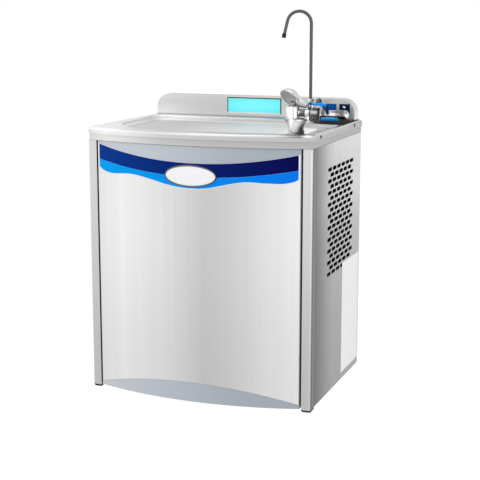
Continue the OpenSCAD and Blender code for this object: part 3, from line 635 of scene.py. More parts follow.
def paddle_enamel(name, colours):
    """Gloss paddle, painted lighter towards its top with a painted highlight along its top edge, and painted
    black beneath as shade.
    """
    f = Finish(name, Specular_IOR_Level=0.15)
    z, nz = f.place[2], f.facing[2]
    face = f.mix(z.between(row_z(514.5), row_z(520)), colours.paddle_low, colours.paddle_high)
    face = f.mix(nz.between(0.2, 0.8), face, (0.25, 0.62, 0.95))
    f.set(
        Base_Color=f.mix(nz.between(-0.4, -0.8), face, (0.003, 0.004, 0.006)),
        Roughness=0.28 + f.noise(60.0) * 0.08,
    )
    return f.material


def display_glow(name, colours):
    """A backlit window, brightest along its middle."""
    f = Finish(name, Base_Color=(0.05, 0.25, 0.28, 1), Emission_Strength=0.8, Roughness=0.25)
    x, _, z = f.place
    low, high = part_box("display_panel")
    middle, size = (low + high) / 2, high - low
    across, upward = (x - middle.x) * (1 / size.x), (z - middle.z) * (1 / size.z)
    glow = 1 - (across * across * 0.5 + upward * upward * 0.8)
    colour = f.mix(glow.between(0.75, 1.0), colours.display_edge, colours.display_middle)
    f.set(Emission_Color=f.mix(f.noise(25.0) * 0.25, colour, (0.12, 0.80, 0.88)))
    return f.material


def base_paint(name, colours):
    """Satin paint in painted light: lighter on the left as a painted reflection, and greyer low down as
    painted shade.
    """
    f = Finish(name, Metallic=0.35)
    x, _, z = f.place
    stops = ((0.0, (0.62, 0.64, 0.67)), (0.3, (0.53, 0.57, 0.62)), (0.7, (0.41, 0.45, 0.50)),
             (1.0, (0.38, 0.43, 0.49)))
    tinted = [(at, tuple(c * t for c, t in zip(paint, colours.base_tint))) for at, paint in stops]
    tone = f.ramp(x.between(-PRINT_AND_PAINTED_LIGHT_HALF, PRINT_AND_PAINTED_LIGHT_HALF), tinted)
    low = f.mix(0.14, tone, (0.2, 0.22, 0.25))
    f.set(
        Base_Color=f.mix(z.between(row_z(60), row_z(400)), low, tone),
        Roughness=0.36 + f.noise(70.0) * 0.1,
    )
    f.bump(f.noise(600.0, detail=2), 0.00003)
    return f.material


SIGN = {"roughness": 0.3, "level": 0.08}
MAKERS = {
    "front_steel": lambda name, c: brushed(name, front_painted_reflection, roughness=0.34),
    "side_steel": lambda name, c: brushed(name, side_painted_light, streak=0.06, roughness=0.36),
    "post_steel": lambda name, c: brushed(name, post_painted_light, streak=0.04, roughness=0.34),
    "splash_steel": lambda name, c: brushed(name, splash_painted_light, along="x", streak=0.04),
    "deck_steel": deck_steel,
    "hood_chrome": hood_chrome,
    "lever_blue": lever_enamel,
    "paddle_blue": paddle_enamel,
    "display_glow": display_glow,
    "base_paint": base_paint,
    "band_navy": lambda name, c: film(name, c.dark_left, c.dark_middle, c.dark_right),
    "band_azure": lambda name, c: film(name, c.light_left, c.light_middle, c.light_right),
    # The badge rim's near-black is painted shade.
    "badge_edge": lambda name, c: polished(name, painted_reflection_bands(0.01, 0.16)),
    "tap_chrome": lambda name, c: polished(name, painted_reflection_bands(0.12, 0.88)),
    "tap_dark": lambda name, c: polished(name, painted_reflection_bands(0.03, 0.20)),
    # The dome's peach tint is a painted reflection.
    "tap_dome": lambda name, c: polished(name, painted_reflection_bands(0.04, 0.16), (1.0, 0.90, 0.88)),
    "tap_body": lambda name, c: polished(name, body_painted_reflection),
    "tap_valve": lambda name, c: polished(name, valve_painted_reflection),
    "tap_barrel": lambda name, c: polished(name, barrel_painted_reflection),
    "band_white": lambda name, c: plain(name, c.border, roughness=0.4, level=0.2),
    "badge_white": lambda name, c: plain(name, c.badge, roughness=0.2, grain=(60.0, 0.03)),
    "plate_white": lambda name, c: plain(name, c.side_plate, grain=(60.0, 0.03)),
    "sign_blue": lambda name, c: plain(name, c.left_sign, grain=(18.0, 0.15), **SIGN),
    "sign_navy": lambda name, c: plain(name, c.right_sign, grain=(18.0, 0.2), **SIGN),
    "handle_red": lambda name, c: plain(name, c.inlet_handle, roughness=0.4),
    "zinc": lambda name, c: plain(name, (0.55, 0.56, 0.58), 0.9, 0.42, (25.0, 0.16)),
    # The filler tube's dark grey is a painted dark reflection of its surroundings.
    "tube_steel": lambda name, c: plain(name, (0.11, 0.11, 0.115), 1.0, 0.3, (80.0, 0.08)),
    "bright_steel": lambda name, c: plain(name, (0.6, 0.6, 0.61), 1.0, 0.28),
    "aluminium": lambda name, c: plain(name, (0.68, 0.69, 0.71), 1.0, 0.38, (120.0, 0.08)),
    "brass": lambda name, c: plain(name, (0.62, 0.43, 0.17), 1.0, 0.32, (40.0, 0.12)),
    "copper": lambda name, c: plain(name, (0.72, 0.36, 0.21), 1.0, 0.3, (30.0, 0.15)),
    "motor_grey": lambda name, c: plain(name, (0.10, 0.10, 0.11), 0.3, 0.4),
    "white_plastic": lambda name, c: plain(name, (0.82, 0.82, 0.80), roughness=0.4),
    "black_plastic": lambda name, c: plain(name, (0.02, 0.02, 0.022), level=0.2),
    "black_paint": lambda name, c: plain(name, (0.012, 0.012, 0.013), roughness=0.45, level=0.2),
    "black_rubber": lambda name, c: plain(
        name, (0.03, 0.03, 0.032), roughness=0.75, grain=(35.0, 0.25), bump=(700.0, 0.00008)
    ),
    "foam": lambda name, c: plain(name, (0.05, 0.05, 0.053), roughness=0.9, bump=(90.0, 0.0006)),
}
SLOT_FINISHES = {
    "brushed_front": "front_steel", "brushed_case": "side_steel", "polished_deck": "deck_steel",
    "galvanised": "zinc", "display_lit": "display_glow", "spring_steel": "bright_steel",
    "waste_steel": "bright_steel", "tank_steel": "bright_steel", "yellow_brass": "brass",
    "compressor_black": "black_paint", "fin_aluminium": "aluminium", "copper_tube": "copper",
}
# The fan duct and the condenser get black paint, which also stands in for the shade inside the side vents.
NODE_FINISHES = {"corner_posts": "post_steel", "condenser_core": "black_paint", "fan_duct": "black_paint"}
FINISHES = {}


def finish(name):
    """The material of that name, made once."""
    if name not in FINISHES:
        FINISHES[name] = MAKERS[name](name, bpy.context.scene.fountain_colours)
    return FINISHES[name]


class Shape:
    """A mesh in millimetres, with heights from the cabinet's bottom, that ends as one named piece."""

    def __init__(self):
        self.bm = bmesh.new()

    def loop(self, points):
        """A closed row of edges through the points."""
        verts = [self.bm.verts.new(p) for p in points]
        return [self.bm.edges.new(pair) for pair in zip(verts, verts[1:] + verts[:1])]

    def oval(self, centre, across, upward, steps):
        """A closed row of edges round a centre, through the ends of two half axes."""
        turns = [math.tau * k / steps for k in range(steps)]
        return self.loop([centre + across * math.cos(a) + upward * math.sin(a) for a in turns])

    def mark(self, name, edges):
        """Gives the points of a row of edges a 1 that the finish can read."""
        layer = self.bm.verts.layers.float.get(name) or self.bm.verts.layers.float.new(name)
        for vert in {v for e in edges for v in e.verts}:
            vert[layer] = 1.0

    def skin(self, loops, capped=False):
        """Bridges each row of edges to the next, and closes both ends where asked."""
        for a, b in zip(loops, loops[1:]):
            bmesh.ops.bridge_loops(self.bm, edges=a + b)
        if capped:
            bmesh.ops.holes_fill(self.bm, edges=loops[0] + loops[-1], sides=0)

    def turned(self, profile, centre, axis=UP, steps=48):
        """A turned form: the profile gives (radius, distance along the axis from centre)."""
        turn = UP.rotation_difference(axis).to_matrix()
        centre = Vector(centre)
        made = [self.bm.verts.new(centre + turn @ Vector((r, 0, d))) for r, d in profile]
        edges = [self.bm.edges.new(pair) for pair in zip(made, made[1:])]
        bmesh.ops.spin(
            self.bm, geom=made + edges, cent=centre, axis=axis, angle=math.tau, steps=steps,
            use_merge=True, use_duplicate=False,
        )

    def slab(self, points, way):
        """A flat outline drawn out along a vector; gives the edges of its far side."""
        face = self.bm.faces.new([self.bm.verts.new(p) for p in points])
        made = bmesh.ops.extrude_face_region(self.bm, geom=[face])["geom"]
        bmesh.ops.translate(self.bm, vec=way, verts=[v for v in made if isinstance(v, bmesh.types.BMVert)])
        return [e for e in made if isinstance(e, bmesh.types.BMEdge)]

    def box(self, low, high, bevel, segments=2, turn=None, about=None):
        """A block between two corners, turned about a point, with its edges rounded."""
        low, high = Vector(low), Vector(high)
        made = bmesh.ops.create_cube(self.bm, size=1.0)["verts"]
        bmesh.ops.scale(self.bm, vec=high - low, verts=made)
        bmesh.ops.translate(self.bm, vec=(low + high) / 2, verts=made)
        if turn is not None:
            bmesh.ops.rotate(self.bm, cent=about, matrix=turn, verts=made)
        self.round_edges(list({e for v in made for e in v.link_edges}), bevel, segments)

    def round_edges(self, edges, width, segments=3):
        """Rounds edges."""
        bmesh.ops.bevel(
            self.bm, geom=edges, offset=width, offset_type="OFFSET", segments=segments, profile=0.5,
            affect="EDGES", material=-1, clamp_overlap=True,
        )

    def put(self, turn, place):
        """Turns the whole shape about the origin and moves it to its place."""
        bmesh.ops.rotate(self.bm, cent=(0, 0, 0), matrix=turn, verts=self.bm.verts)
        bmesh.ops.translate(self.bm, vec=place, verts=self.bm.verts)

    def piece(self, name, material, body="root", replaces=(), slot=None, recalculate=True):
        """Ends the mesh as a piece that rides on a body."""
        bm = self.bm
        bmesh.ops.remove_doubles(bm, verts=bm.verts, dist=0.002)
        if recalculate:
            bmesh.ops.recalc_face_normals(bm, faces=bm.faces)
        bmesh.ops.translate(bm, vec=(0, 0, -HANG), verts=bm.verts)
        bmesh.ops.scale(bm, vec=(MM, MM, MM), verts=bm.verts)
        mesh = bpy.data.meshes.new(name)
        bm.to_mesh(mesh)
        bm.free()
        mesh.shade_smooth()
        mesh.set_sharp_from_angle(angle=SHARP)
        obj = bpy.data.objects.new(name, mesh)
        bpy.context.scene.collection.objects.link(obj)
        mesh.materials.append(finish(material))
        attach(obj, body)
        if replaces:
            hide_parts(*replaces)
        return obj


def within_bow(x, y, halves, apex, radius, corners, back):
    """Whether a point lies behind a bowed front with rounded front corners."""
    half, corner = (halves[1], corners[1]) if x > 0 else (halves[0], corners[0])
    if abs(x) > half or y > back:
        return False
    centre = apex + radius
    inner = half - corner
    turn_y = centre - math.sqrt((radius - corner) ** 2 - inner**2)
    if abs(x) <= inner * radius / (radius - corner):
        return y >= centre - math.sqrt(radius**2 - x**2)
    return y >= turn_y or (abs(x) - inner) ** 2 + (y - turn_y) ** 2 <= corner**2


def within_deck(x, y, inset):
    """Whether a point lies in the deck's outline, drawn in by inset at its front and sides."""
    half = DECK_HALF - inset
    corner = DECK_CORNER - min(inset, 4)
    return within_bow(x, y, (half, half), DECK_APEX + inset, DECK_RADIUS - inset, (corner, corner), 0)


def within_basin(x, y, grow):
    """Whether a point lies in the basin, whose wall is moved out by grow."""
    rim, back, corner = BASIN_RIM - grow, BASIN_REAR + grow, REAR_CORNER + grow
    inside = within_bow(
        x, y, (BASIN_LEFT + grow, BASIN_RIGHT + grow), DECK_APEX + rim, DECK_RADIUS - rim,
        (LEFT_CORNER + grow, RIGHT_CORNER + grow), back,
    )
    dx, dy = -BASIN_LEFT - grow + corner - x, y - back + corner
    if dx > 0 and dy > 0 and dx * dx + dy * dy > corner**2:
        return False
    ledge = LEDGE_RADIUS - grow
    on_ledge = (Vector((x, y)) - LEDGE).length < ledge or (x > LEDGE.x and y > LEDGE.y - ledge)
    return inside and not on_ledge


RING_CENTRE = Vector((0, -170))
RING_REACH = 420.0
RING_RAYS = [Vector((math.cos(a), math.sin(a))) for a in sorted(
    [math.tau * i / 720 - math.pi for i in range(720)]
    + [math.atan2(-RING_CENTRE.y, side * DECK_HALF) for side in (-1, 1)]
)]


def ring(within, amount, z, soften=0, gap=None):
    """Points round an outline at one height, found along rays from the middle of the deck.

    Its corners are softened a number of times, and a gap keeps it in front of the wall.
    """
    reach = []
    for way in RING_RAYS:
        low, high = 0.0, RING_REACH
        for _ in range(22):
            mid = (low + high) / 2
            low, high = (mid, high) if within(*(RING_CENTRE + way * mid), amount) else (low, mid)
        reach.append(low)
    for _ in range(soften):
        reach = [(reach[i - 1] + 2 * reach[i] + reach[(i + 1) % len(reach)]) / 4 for i in range(len(reach))]
    points = [RING_CENTRE + way * r for way, r in zip(RING_RAYS, reach)]
    return [(x, y if gap is None else min(y, -gap), z) for x, y in points]


def front_y(x, gap):
    """The y of a sheet a gap in front of the bowed panel, at x."""
    return PANEL_APEX - gap + arc_drop(x, PANEL_RADIUS + gap)


def fascia_low(x):
    """Height of the fascia's arched bottom edge."""
    return 40 - arc_drop(x, arc_radius(PANEL_HALF, 30.0))


def band_top(x):
    """Height of the dark band's arched upper edge, which the fascia's sheet shares."""
    return 454.6 - 0.012 * x + arc_drop(x, arc_radius(PANEL_HALF, 23.0))


def dark_low(x):
    """Height of the dark band's arched lower edge."""
    return 429.4 - 0.01 * x + arc_drop(x, arc_radius(PANEL_HALF, 20.0))


WAVE = [(-215, 447), (-203, 440), (-194, 432.5), (-183, 427.5), (-167, 425.3), (-151, 426), (-135, 427.2),
        (-119, 427), (-103, 425), (-87, 422), (-71, 418.8), (-50, 414), (-25, 410), (0, 408.4), (25, 408.8),
        (41, 411.2), (57, 414.8), (73, 418.4), (89, 421.6), (105, 423.8), (121, 423.8), (137, 422.8),
        (153, 422.4), (169, 422.2), (183, 424), (192, 426.4), (198, 429.6), (202, 434.5), (204, 441),
        (215, 470)]


def wave(x):
    """Height of the light band's lower edge: a shallow wave that curls up at both ends."""
    i = next(k for k in range(2, len(WAVE)) if x <= WAVE[k][0])
    (x0, z0), (x1, z1), (x2, z2), (x3, z3) = (WAVE[min(k, len(WAVE) - 1)] for k in range(i - 2, i + 2))
    s = (x - x1) / (x2 - x1)
    first = (z2 - z0) / (x2 - x0) * (x2 - x1)
    last = (z3 - z1) / (x3 - x1) * (x2 - x1)
    return (z1 * (1 + 2 * s) * (1 - s) ** 2 + first * s * (1 - s) ** 2
            + z2 * s * s * (3 - 2 * s) + last * s * s * (s - 1))


def bowed_sheet(low, high, half, gap, thickness, rows, columns, middle=0.0):
    """A sheet between two edges, heights called with x, that follows the bowed panel a gap in front of it."""
    shape = Shape()
    grid = bmesh.ops.create_grid(shape.bm, x_segments=columns, y_segments=rows, size=1.0)["verts"]
    for vert in grid:
        x = middle + vert.co.x * half
        bottom, top = low(x), high(x)
        vert.co = (x, front_y(x, gap), bottom + (top - bottom) * (vert.co.y + 1) / 2)
    front = list(shape.bm.faces)
    bmesh.ops.recalc_face_normals(shape.bm, faces=front)
    if front[0].normal.y > 0:
        bmesh.ops.reverse_faces(shape.bm, faces=front)
    bmesh.ops.solidify(shape.bm, geom=front, thickness=thickness)
    return shape


def badge_loops(shape, rows, steps=96):
    """Loops round the oval badge, each drawn in by an inset and set a gap in front of the bowed panel."""
    wide, tall, middle, height = 51.5, 20.2, 2.0, 431.0
    loops = []
    for inset, gap in rows:
        points = []
        for a in (math.tau * i / steps for i in range(steps)):
            x = middle + (wide - inset) * math.cos(a)
            points.append((x, front_y(x, gap), height + (tall - inset) * math.sin(a)))
        loops.append(shape.loop(points))
    return loops


class FOUNTAIN_OT_dress(bpy.types.Operator):
    """Give every CAD node the finish of its slot"""

    bl_idname = "fountain.dress"
    bl_label = "CAD Finishes"
    bl_options = UNDOABLE

    def execute(self, context):
        slots = {s["node"]: s["material_slot"] for s in frame["record"]["subparts"]}
        for node, obj in frame["nodes"].items():
            made = finish(NODE_FINISHES.get(node, SLOT_FINISHES.get(slots[node], slots[node])))
            obj.data.materials.clear()
            obj.data.materials.append(made)
        return {"FINISHED"}


class FOUNTAIN_OT_deck(bpy.types.Operator):
    """Build the pressed deck: stepped skirt, rolled edge, rim, rounded basin and underside"""

    bl_idname = "fountain.deck"
    bl_label = "Deck"
    bl_options = UNDOABLE

    def execute(self, context):
        shape = Shape()
        low, sheet, hole, blend = DECK_LOW.z, 1.4, 21.8, 8
        roll, lip, foot = context.scene.fountain_sizes.deck_roll / MM, 2.5, 6.0
        skirt = [(2.0, low + 0.6), (2.0, low + 11), (1.6, low + 11.8), (0.5, low + 12.2), (0.0, low + 13)]
        skirt += [(roll * (1 - c), DECK_TOP - roll + roll * s) for s, c in quarter(6)]
        outside = [shape.loop(ring(within_deck, 3.6, low + 1.5, gap=1.4)),
                   shape.loop(ring(within_deck, 2.6, low, gap=0.7))]
        outside += [shape.loop(ring(within_deck, inset, z)) for inset, z in skirt]
        wall = [(lip + 4.5, DECK_TOP), (lip + 2.5, DECK_TOP)]
        wall += [(lip * (1 - s), DECK_TOP - lip * (1 - c)) for s, c in quarter(4)]
        wall += [(-foot * (1 - c), FLOOR + foot * (1 - s)) for s, c in quarter(6)]
        inside = [shape.loop(ring(within_basin, grow, z, blend)) for grow, z in wall]
        for row in inside[:6]:
            shape.mark("edge", row)
        shape.skin(outside + inside)
        floor_under = shape.loop(ring(within_basin, 1.2 - foot, FLOOR - sheet, blend))
        holes = []
        for outer, z in ((inside[-1], FLOOR), (floor_under, FLOOR - sheet)):
            holes.append(shape.oval(Vector((*DRAIN, z)), RIGHT * hole, BACK * hole, 48))
            bmesh.ops.triangle_fill(shape.bm, use_beauty=True, edges=outer + holes[-1])
        shape.skin(holes)
        under_wall = shape.loop(ring(within_basin, sheet, FLOOR + 4, blend))
        under_rim = shape.loop(ring(within_basin, sheet, DECK_TOP - 1.5, blend))
        under_edge = shape.loop(ring(within_deck, 3.6, DECK_TOP - 1.5, gap=1.4))
        shape.skin([floor_under, under_wall, under_rim, under_edge, outside[0]])
        shape.piece("pressed_deck", "deck_steel", replaces=["basin_deck"], slot="polished_deck")
        return {"FINISHED"}


class FOUNTAIN_OT_splash(bpy.types.Operator):
    """Build the splash panel with round top corners and a rolled front edge"""

    bl_idname = "fountain.splash"
    bl_label = "Splash Panel"
    bl_options = UNDOABLE

    def execute(self, context):
        sizes = context.scene.fountain_sizes
        low, high = cad_box("backsplash")
        half, radius = high.x, sizes.splash_corner / MM
        arc = [(half - radius + radius * c, high.z - radius + radius * s) for s, c in quarter(15)]
        outline = [(half, low.z)] + arc + [(-x, z) for x, z in reversed(arc)] + [(-half, low.z)]
        shape = Shape()
        front = shape.slab([(x, high.y, z) for x, z in outline], BACK * (low.y - high.y))
        rolled = [e for e in front if max(v.co.z for v in e.verts) > low.z + 0.1]
        shape.round_edges(rolled, sizes.splash_roll / MM)
        shape.piece("splash_panel", "splash_steel", replaces=["backsplash"], slot="brushed_case")
        return {"FINISHED"}


class FOUNTAIN_OT_display(bpy.types.Operator):
    """Build the lit window's dark bezel and its pale lower lip"""

    bl_idname = "fountain.display"
    bl_label = "Display"
    bl_options = UNDOABLE

    def execute(self, context):
        low, high = cad_box("display_bezel")
        bezel = Shape()
        bezel.box((low.x, low.y, high.z - 2.0), high, 0.5)
        bezel.box(low, (low.x + 1.8, high.y, high.z), 0.5)
        bezel.box((high.x - 1.8, low.y, low.z), high, 0.5)
        bezel.box((low.x, low.y + 0.3, low.z), (high.x, high.y, low.z + 0.8), 0.2)
        bezel.piece("window_bezel", "black_plastic", replaces=["display_bezel"], slot="black_plastic")
        lip = Shape()
        lip.box((low.x + 1, low.y - 0.5, low.z - 2.2), (high.x - 1, high.y + 0.5, low.z + 1.6), 0.6)
        lip.piece("window_lip", "white_plastic", slot="white_plastic")
        return {"FINISHED"}


class FOUNTAIN_OT_plates(bpy.types.Operator):
    """Build the two bare sign plates, the stud on the right one, and the bare plate low on the side"""

    bl_idname = "fountain.plates"
    bl_label = "Plates"
    bl_options = UNDOABLE

    def execute(self, context):
        for node, name, material, bevel in (
            ("sign_plate_left", "left_sign", "sign_blue", 0.35),
            ("sign_plate_right", "right_sign", "sign_navy", 0.35),
            ("side_plate", "side_card", "plate_white", 0.2),
        ):
            plate = Shape()
            plate.box(*cad_box(node), bevel)
            plate.piece(name, material, replaces=[node], slot=material)
        low, high = cad_box("sign_plate_right")
        stud = Shape()
        stud.turned([(0, 2.4), (1.6, 2.2), (2.9, 1.2), (3.4, 0), (0, 0)],
                    ((low.x + high.x) / 2 - 1, low.y, (low.z + high.z) / 2 + 1.5), -BACK, 24)
        stud.piece("sign_stud", "bright_steel", slot="sign_navy")
        return {"FINISHED"}


class FOUNTAIN_OT_front(bpy.types.Operator):
    """Build the brushed fascia with its two printed bands and their pale border"""

    bl_idname = "fountain.front"
    bl_label = "Front"
    bl_options = UNDOABLE

    def execute(self, context):
        border = context.scene.fountain_sizes.band_border / MM
        half, printed, middle = PANEL_HALF - 1, PANEL_HALF - 4.2, 0.3
        sheet = bowed_sheet(fascia_low, band_top, half, 1.0, 0.9, 40, 96)
        sheet.piece("fascia_sheet", "front_steel", replaces=["front_fascia"], slot="brushed_front")
        sheet = bowed_sheet(lambda x: wave(x) - border, lambda x: band_top(x) - 0.9, printed, 1.15, 0.12,
                            16, 160, middle)
        sheet.piece("band_border", "band_white", slot="badge_white")
        sheet = bowed_sheet(wave, lambda x: dark_low(x) - 0.2, printed, 1.4, 0.2, 12, 160, middle)
        sheet.piece("light_band", "band_azure", replaces=["band_light"], slot="band_azure")
        sheet = bowed_sheet(dark_low, lambda x: band_top(x) - 0.5, printed, 1.4, 0.2, 10, 120, middle)
        sheet.piece("dark_band", "band_navy", replaces=["band_dark"], slot="band_navy")
        return {"FINISHED"}


class FOUNTAIN_OT_badge(bpy.types.Operator):
    """Build the bare oval badge, slightly domed, in its dark rim"""

    bl_idname = "fountain.badge"
    bl_label = "Badge"
    bl_options = UNDOABLE

    def execute(self, context):
        rim, plate = Shape(), Shape()
        section = [(0, 1.3), (0, 2.2), (0.5, 2.7), (1.3, 2.9), (2.1, 2.7), (2.6, 2.2), (2.6, 1.3), (0, 1.3)]
        rim.skin(badge_loops(rim, section))
        rim.piece("badge_ring", "badge_edge", replaces=["badge_rim"], slot="badge_edge")
        dome = [(2.6, 1.3), (2.6, 2.0), (4.5, 2.25), (8, 2.45), (13, 2.6), (18.5, 2.7)]
        plate.skin(badge_loops(plate, dome), capped=True)
        plate.piece("badge_face", "badge_white", replaces=["badge_plate"], slot="badge_white")
        return {"FINISHED"}


class FOUNTAIN_OT_screws(bpy.types.Operator):
    """Build the domed fixing screws on the deck's side edges"""

    bl_idname = "fountain.screws"
    bl_label = "Screws"
    bl_options = UNDOABLE

    def execute(self, context):
        low, high = cad_box("deck_screws")
        radius = 3.8
        screws = Shape()
        for side in (-1, 1):
            for y in (low.y + radius, high.y - radius):
                screws.turned([(0, 1.5), (1.6, 1.4), (3.0, 0.8), (radius, 0.0), (radius, -0.4), (0, -0.4)],
                              (side * DECK_HALF, y, DECK_TOP - 6.5), RIGHT * side, 24)
        screws.piece("edge_screws", "tap_dark", replaces=["deck_screws"], slot="polished_deck")
        return {"FINISHED"}


class FOUNTAIN_OT_bubbler(bpy.types.Operator):
    """Build the bubbler's base, its tapered body with the head, outlet and shank, and its nozzle"""

    bl_idname = "fountain.bubbler"
    bl_label = "Bubbler"
    bl_options = UNDOABLE

    def execute(self, context):
        x, y = BUBBLER
        head_x = x - 6
        base, body, nozzle = Shape(), Shape(), Shape()
        base.turned([(15.4, 0), (18, 0), (18, 1.6), (17.2, 2.8), (15.8, 3.4), (15.6, 12), (14.8, 13),
                     (13.5, 13), (13.5, 0.5), (15.4, 0)], (x, y, FLOOR))
        base.piece("bubbler_foot", "tap_body", replaces=["bubbler_base"], slot="tap_chrome")
        body.turned([(0, 12.6), (13.8, 12.6), (14.0, 14), (14.4, 18), (15.8, 22), (18.2, 27), (20.6, 30.4),
                     (21.2, 31.8), (20.8, 33.6), (18.4, 35.2), (14.6, 35.9), (0, 36)], (x, y, FLOOR))
        body.turned([(0, 35), (13.4, 35), (13.5, 50), (13.1, 53), (12.0, 55.4), (10.0, 57.2), (7.2, 58),
                     (0, 58)], (head_x, y, FLOOR))
        body.turned([(0, 0), (6, 0), (6, 13.8), (0, 13.8)], (head_x, y, OUTLET), RIGHT, 32)
        body.turned([(0, -30), (6, -30), (6, 14), (0, 14)], (x, y, FLOOR), steps=32)
        body.piece("bubbler_casting", "tap_body", replaces=["bubbler_body"], slot="tap_chrome")
        tilt = Matrix.Rotation(math.radians(35), 3, "X") @ UP
        nozzle.turned([(0, 0), (4.5, 0), (4.5, 7.6), (3.9, 8.8), (3.0, 9.0), (2.5, 8.6), (2.4, 4.0),
                       (0, 4.0)], (head_x, y + 4, FLOOR + 57.5), tilt, 32)
        nozzle.piece("bubbler_jet", "hood_chrome", replaces=["bubbler_nozzle"], slot="tap_chrome")
        return {"FINISHED"}


class FOUNTAIN_OT_hood(bpy.types.Operator):
    """Build the mouth guard, a thin dome open to the front and below, and its arm"""

    bl_idname = "fountain.hood"
    bl_label = "Hood"
    bl_options = UNDOABLE

    def execute(self, context):
        sizes = context.scene.fountain_sizes
        centre = Vector((BUBBLER.x - 13, BUBBLER.y, FLOOR + 70))
        flattening, cut_below = 0.86, 16
        heading, tilt = math.radians(-28), math.radians(130)
        hood, arm = Shape(), Shape()
        bm = hood.bm
        bmesh.ops.create_uvsphere(bm, u_segments=64, v_segments=48, radius=sizes.hood_radius / MM)
        bmesh.ops.scale(bm, vec=(1, 1, flattening), verts=bm.verts)
        way = Matrix.Rotation(heading, 3, "Z") @ Matrix.Rotation(tilt, 3, "X")
        hood.put(way, centre)
        for point, normal in ((centre, way @ UP), (centre - UP * cut_below, -UP)):
            everything = list(bm.verts) + list(bm.edges) + list(bm.faces)
            bmesh.ops.bisect_plane(bm, geom=everything, plane_co=point, plane_no=normal, clear_outer=True)
        for face in bm.faces:
            if face.normal.dot(face.calc_center_median() - centre) < 0:
                face.normal_flip()
        bmesh.ops.solidify(bm, geom=list(bm.faces), thickness=sizes.hood_wall / MM)
        bm.normal_update()
        inner = bm.verts.layers.float.new("inner")
        for vert in bm.verts:
            vert[inner] = float(vert.normal.dot(vert.co - centre) < 0)
        hood.piece("mouth_hood", "hood_chrome", replaces=["bubbler_guard"], slot="tap_chrome",
                   recalculate=False)
        stations = [(13.5, -5.0, 6.0, 3.6), (16.5, -5.6, 8.2, 4.8), (21.0, -7.0, 8.0, 5.4),
                    (26.0, -8.8, 7.0, 5.4), (30.5, -10.6, 5.6, 5.0), (33.5, -12.0, 4.0, 4.2),
                    (34.6, -12.6, 2.2, 2.8)]
        arm.skin([arm.oval(centre + Vector((along, 1, up)), BACK * wide, UP * tall, 24)
                  for along, up, tall, wide in stations], capped=True)
        arm.piece("hood_arm", "hood_chrome", slot="tap_chrome")
        return {"FINISHED"}


class FOUNTAIN_OT_valve(bpy.types.Operator):
    """Build the union nut and the side valve with its two lever cheeks"""

    bl_idname = "fountain.valve"
    bl_label = "Side Valve"
    bl_options = UNDOABLE

    def execute(self, context):
        x, y = BUBBLER
        nut, valve = Shape(), Shape()
        radius, depth = 8.1, 10.2
        bmesh.ops.create_cone(
            nut.bm, cap_ends=True, segments=6, radius1=radius, radius2=radius, depth=depth
        )
        nut.put(Matrix.Rotation(math.radians(90), 3, "Y"), (x + 12.9, y, OUTLET))
        nut.round_edges(list(nut.bm.edges), 0.7, 2)
        nut.piece("union_nut", "tap_dark", replaces=["bubbler_union_nut"], slot="tap_dark")
        valve.turned([(0, 0), (6.2, 0), (6.8, 0.6), (6.8, 8), (0, 8)], (x + 18, y, OUTLET), RIGHT, 32)
        valve.turned([(0, 29), (6.4, 29), (7.3, 30), (7.4, 32), (9.4, 32.2), (10, 33.2), (10, 37),
                      (9.4, 37.8), (9.4, 39.0), (10, 39.8), (10, 54), (9.4, 55), (2.3, 55), (2.3, 34),
                      (0, 34)], (VALVE_X, y, FLOOR))
        turn = Matrix.Rotation(LEVER_TURN, 3, "Z")
        for side in (y - 7, y + 4.3):
            low, high = (VALVE_X - 12.5, side, FLOOR + 51), (VALVE_X - 5.5, side + 2.7, FLOOR + 65)
            valve.box(low, high, 0.8, turn=turn, about=(VALVE_X, y, 0))
        valve.piece("side_valve", "tap_valve", replaces=["bubbler_valve"], slot="tap_chrome")
        return {"FINISHED"}


class FOUNTAIN_OT_spring(bpy.types.Operator):
    """Build the coil under the plunger at its resting length; the real coil shortens when the lever is
    pressed
    """

    bl_idname = "fountain.spring"
    bl_label = "Spring"
    bl_options = UNDOABLE

    def execute(self, context):
        low, high = cad_box("bubbler_spring")
        middle = (low + high) / 2
        wire, steps, wire_steps = 0.3, 24, 8
        count = context.scene.fountain_sizes.spring_turns * steps
        across = (high.x - low.x) / 2 - wire
        coil = Shape()
        loops = []
        for i in range(count + 1):
            way = Vector((math.cos(math.tau * i / steps), math.sin(math.tau * i / steps), 0))
            rise = low.z + wire + (high.z - low.z - 2 * wire) * i / count
            centre = Vector((middle.x, middle.y, rise)) + way * across
            loops.append(coil.oval(centre, way * wire, UP * wire, wire_steps))
        coil.skin(loops, capped=True)
        spring = coil.piece("valve_spring", "bright_steel", replaces=["bubbler_spring"], slot="spring_steel")
        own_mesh(spring)
        return {"FINISHED"}


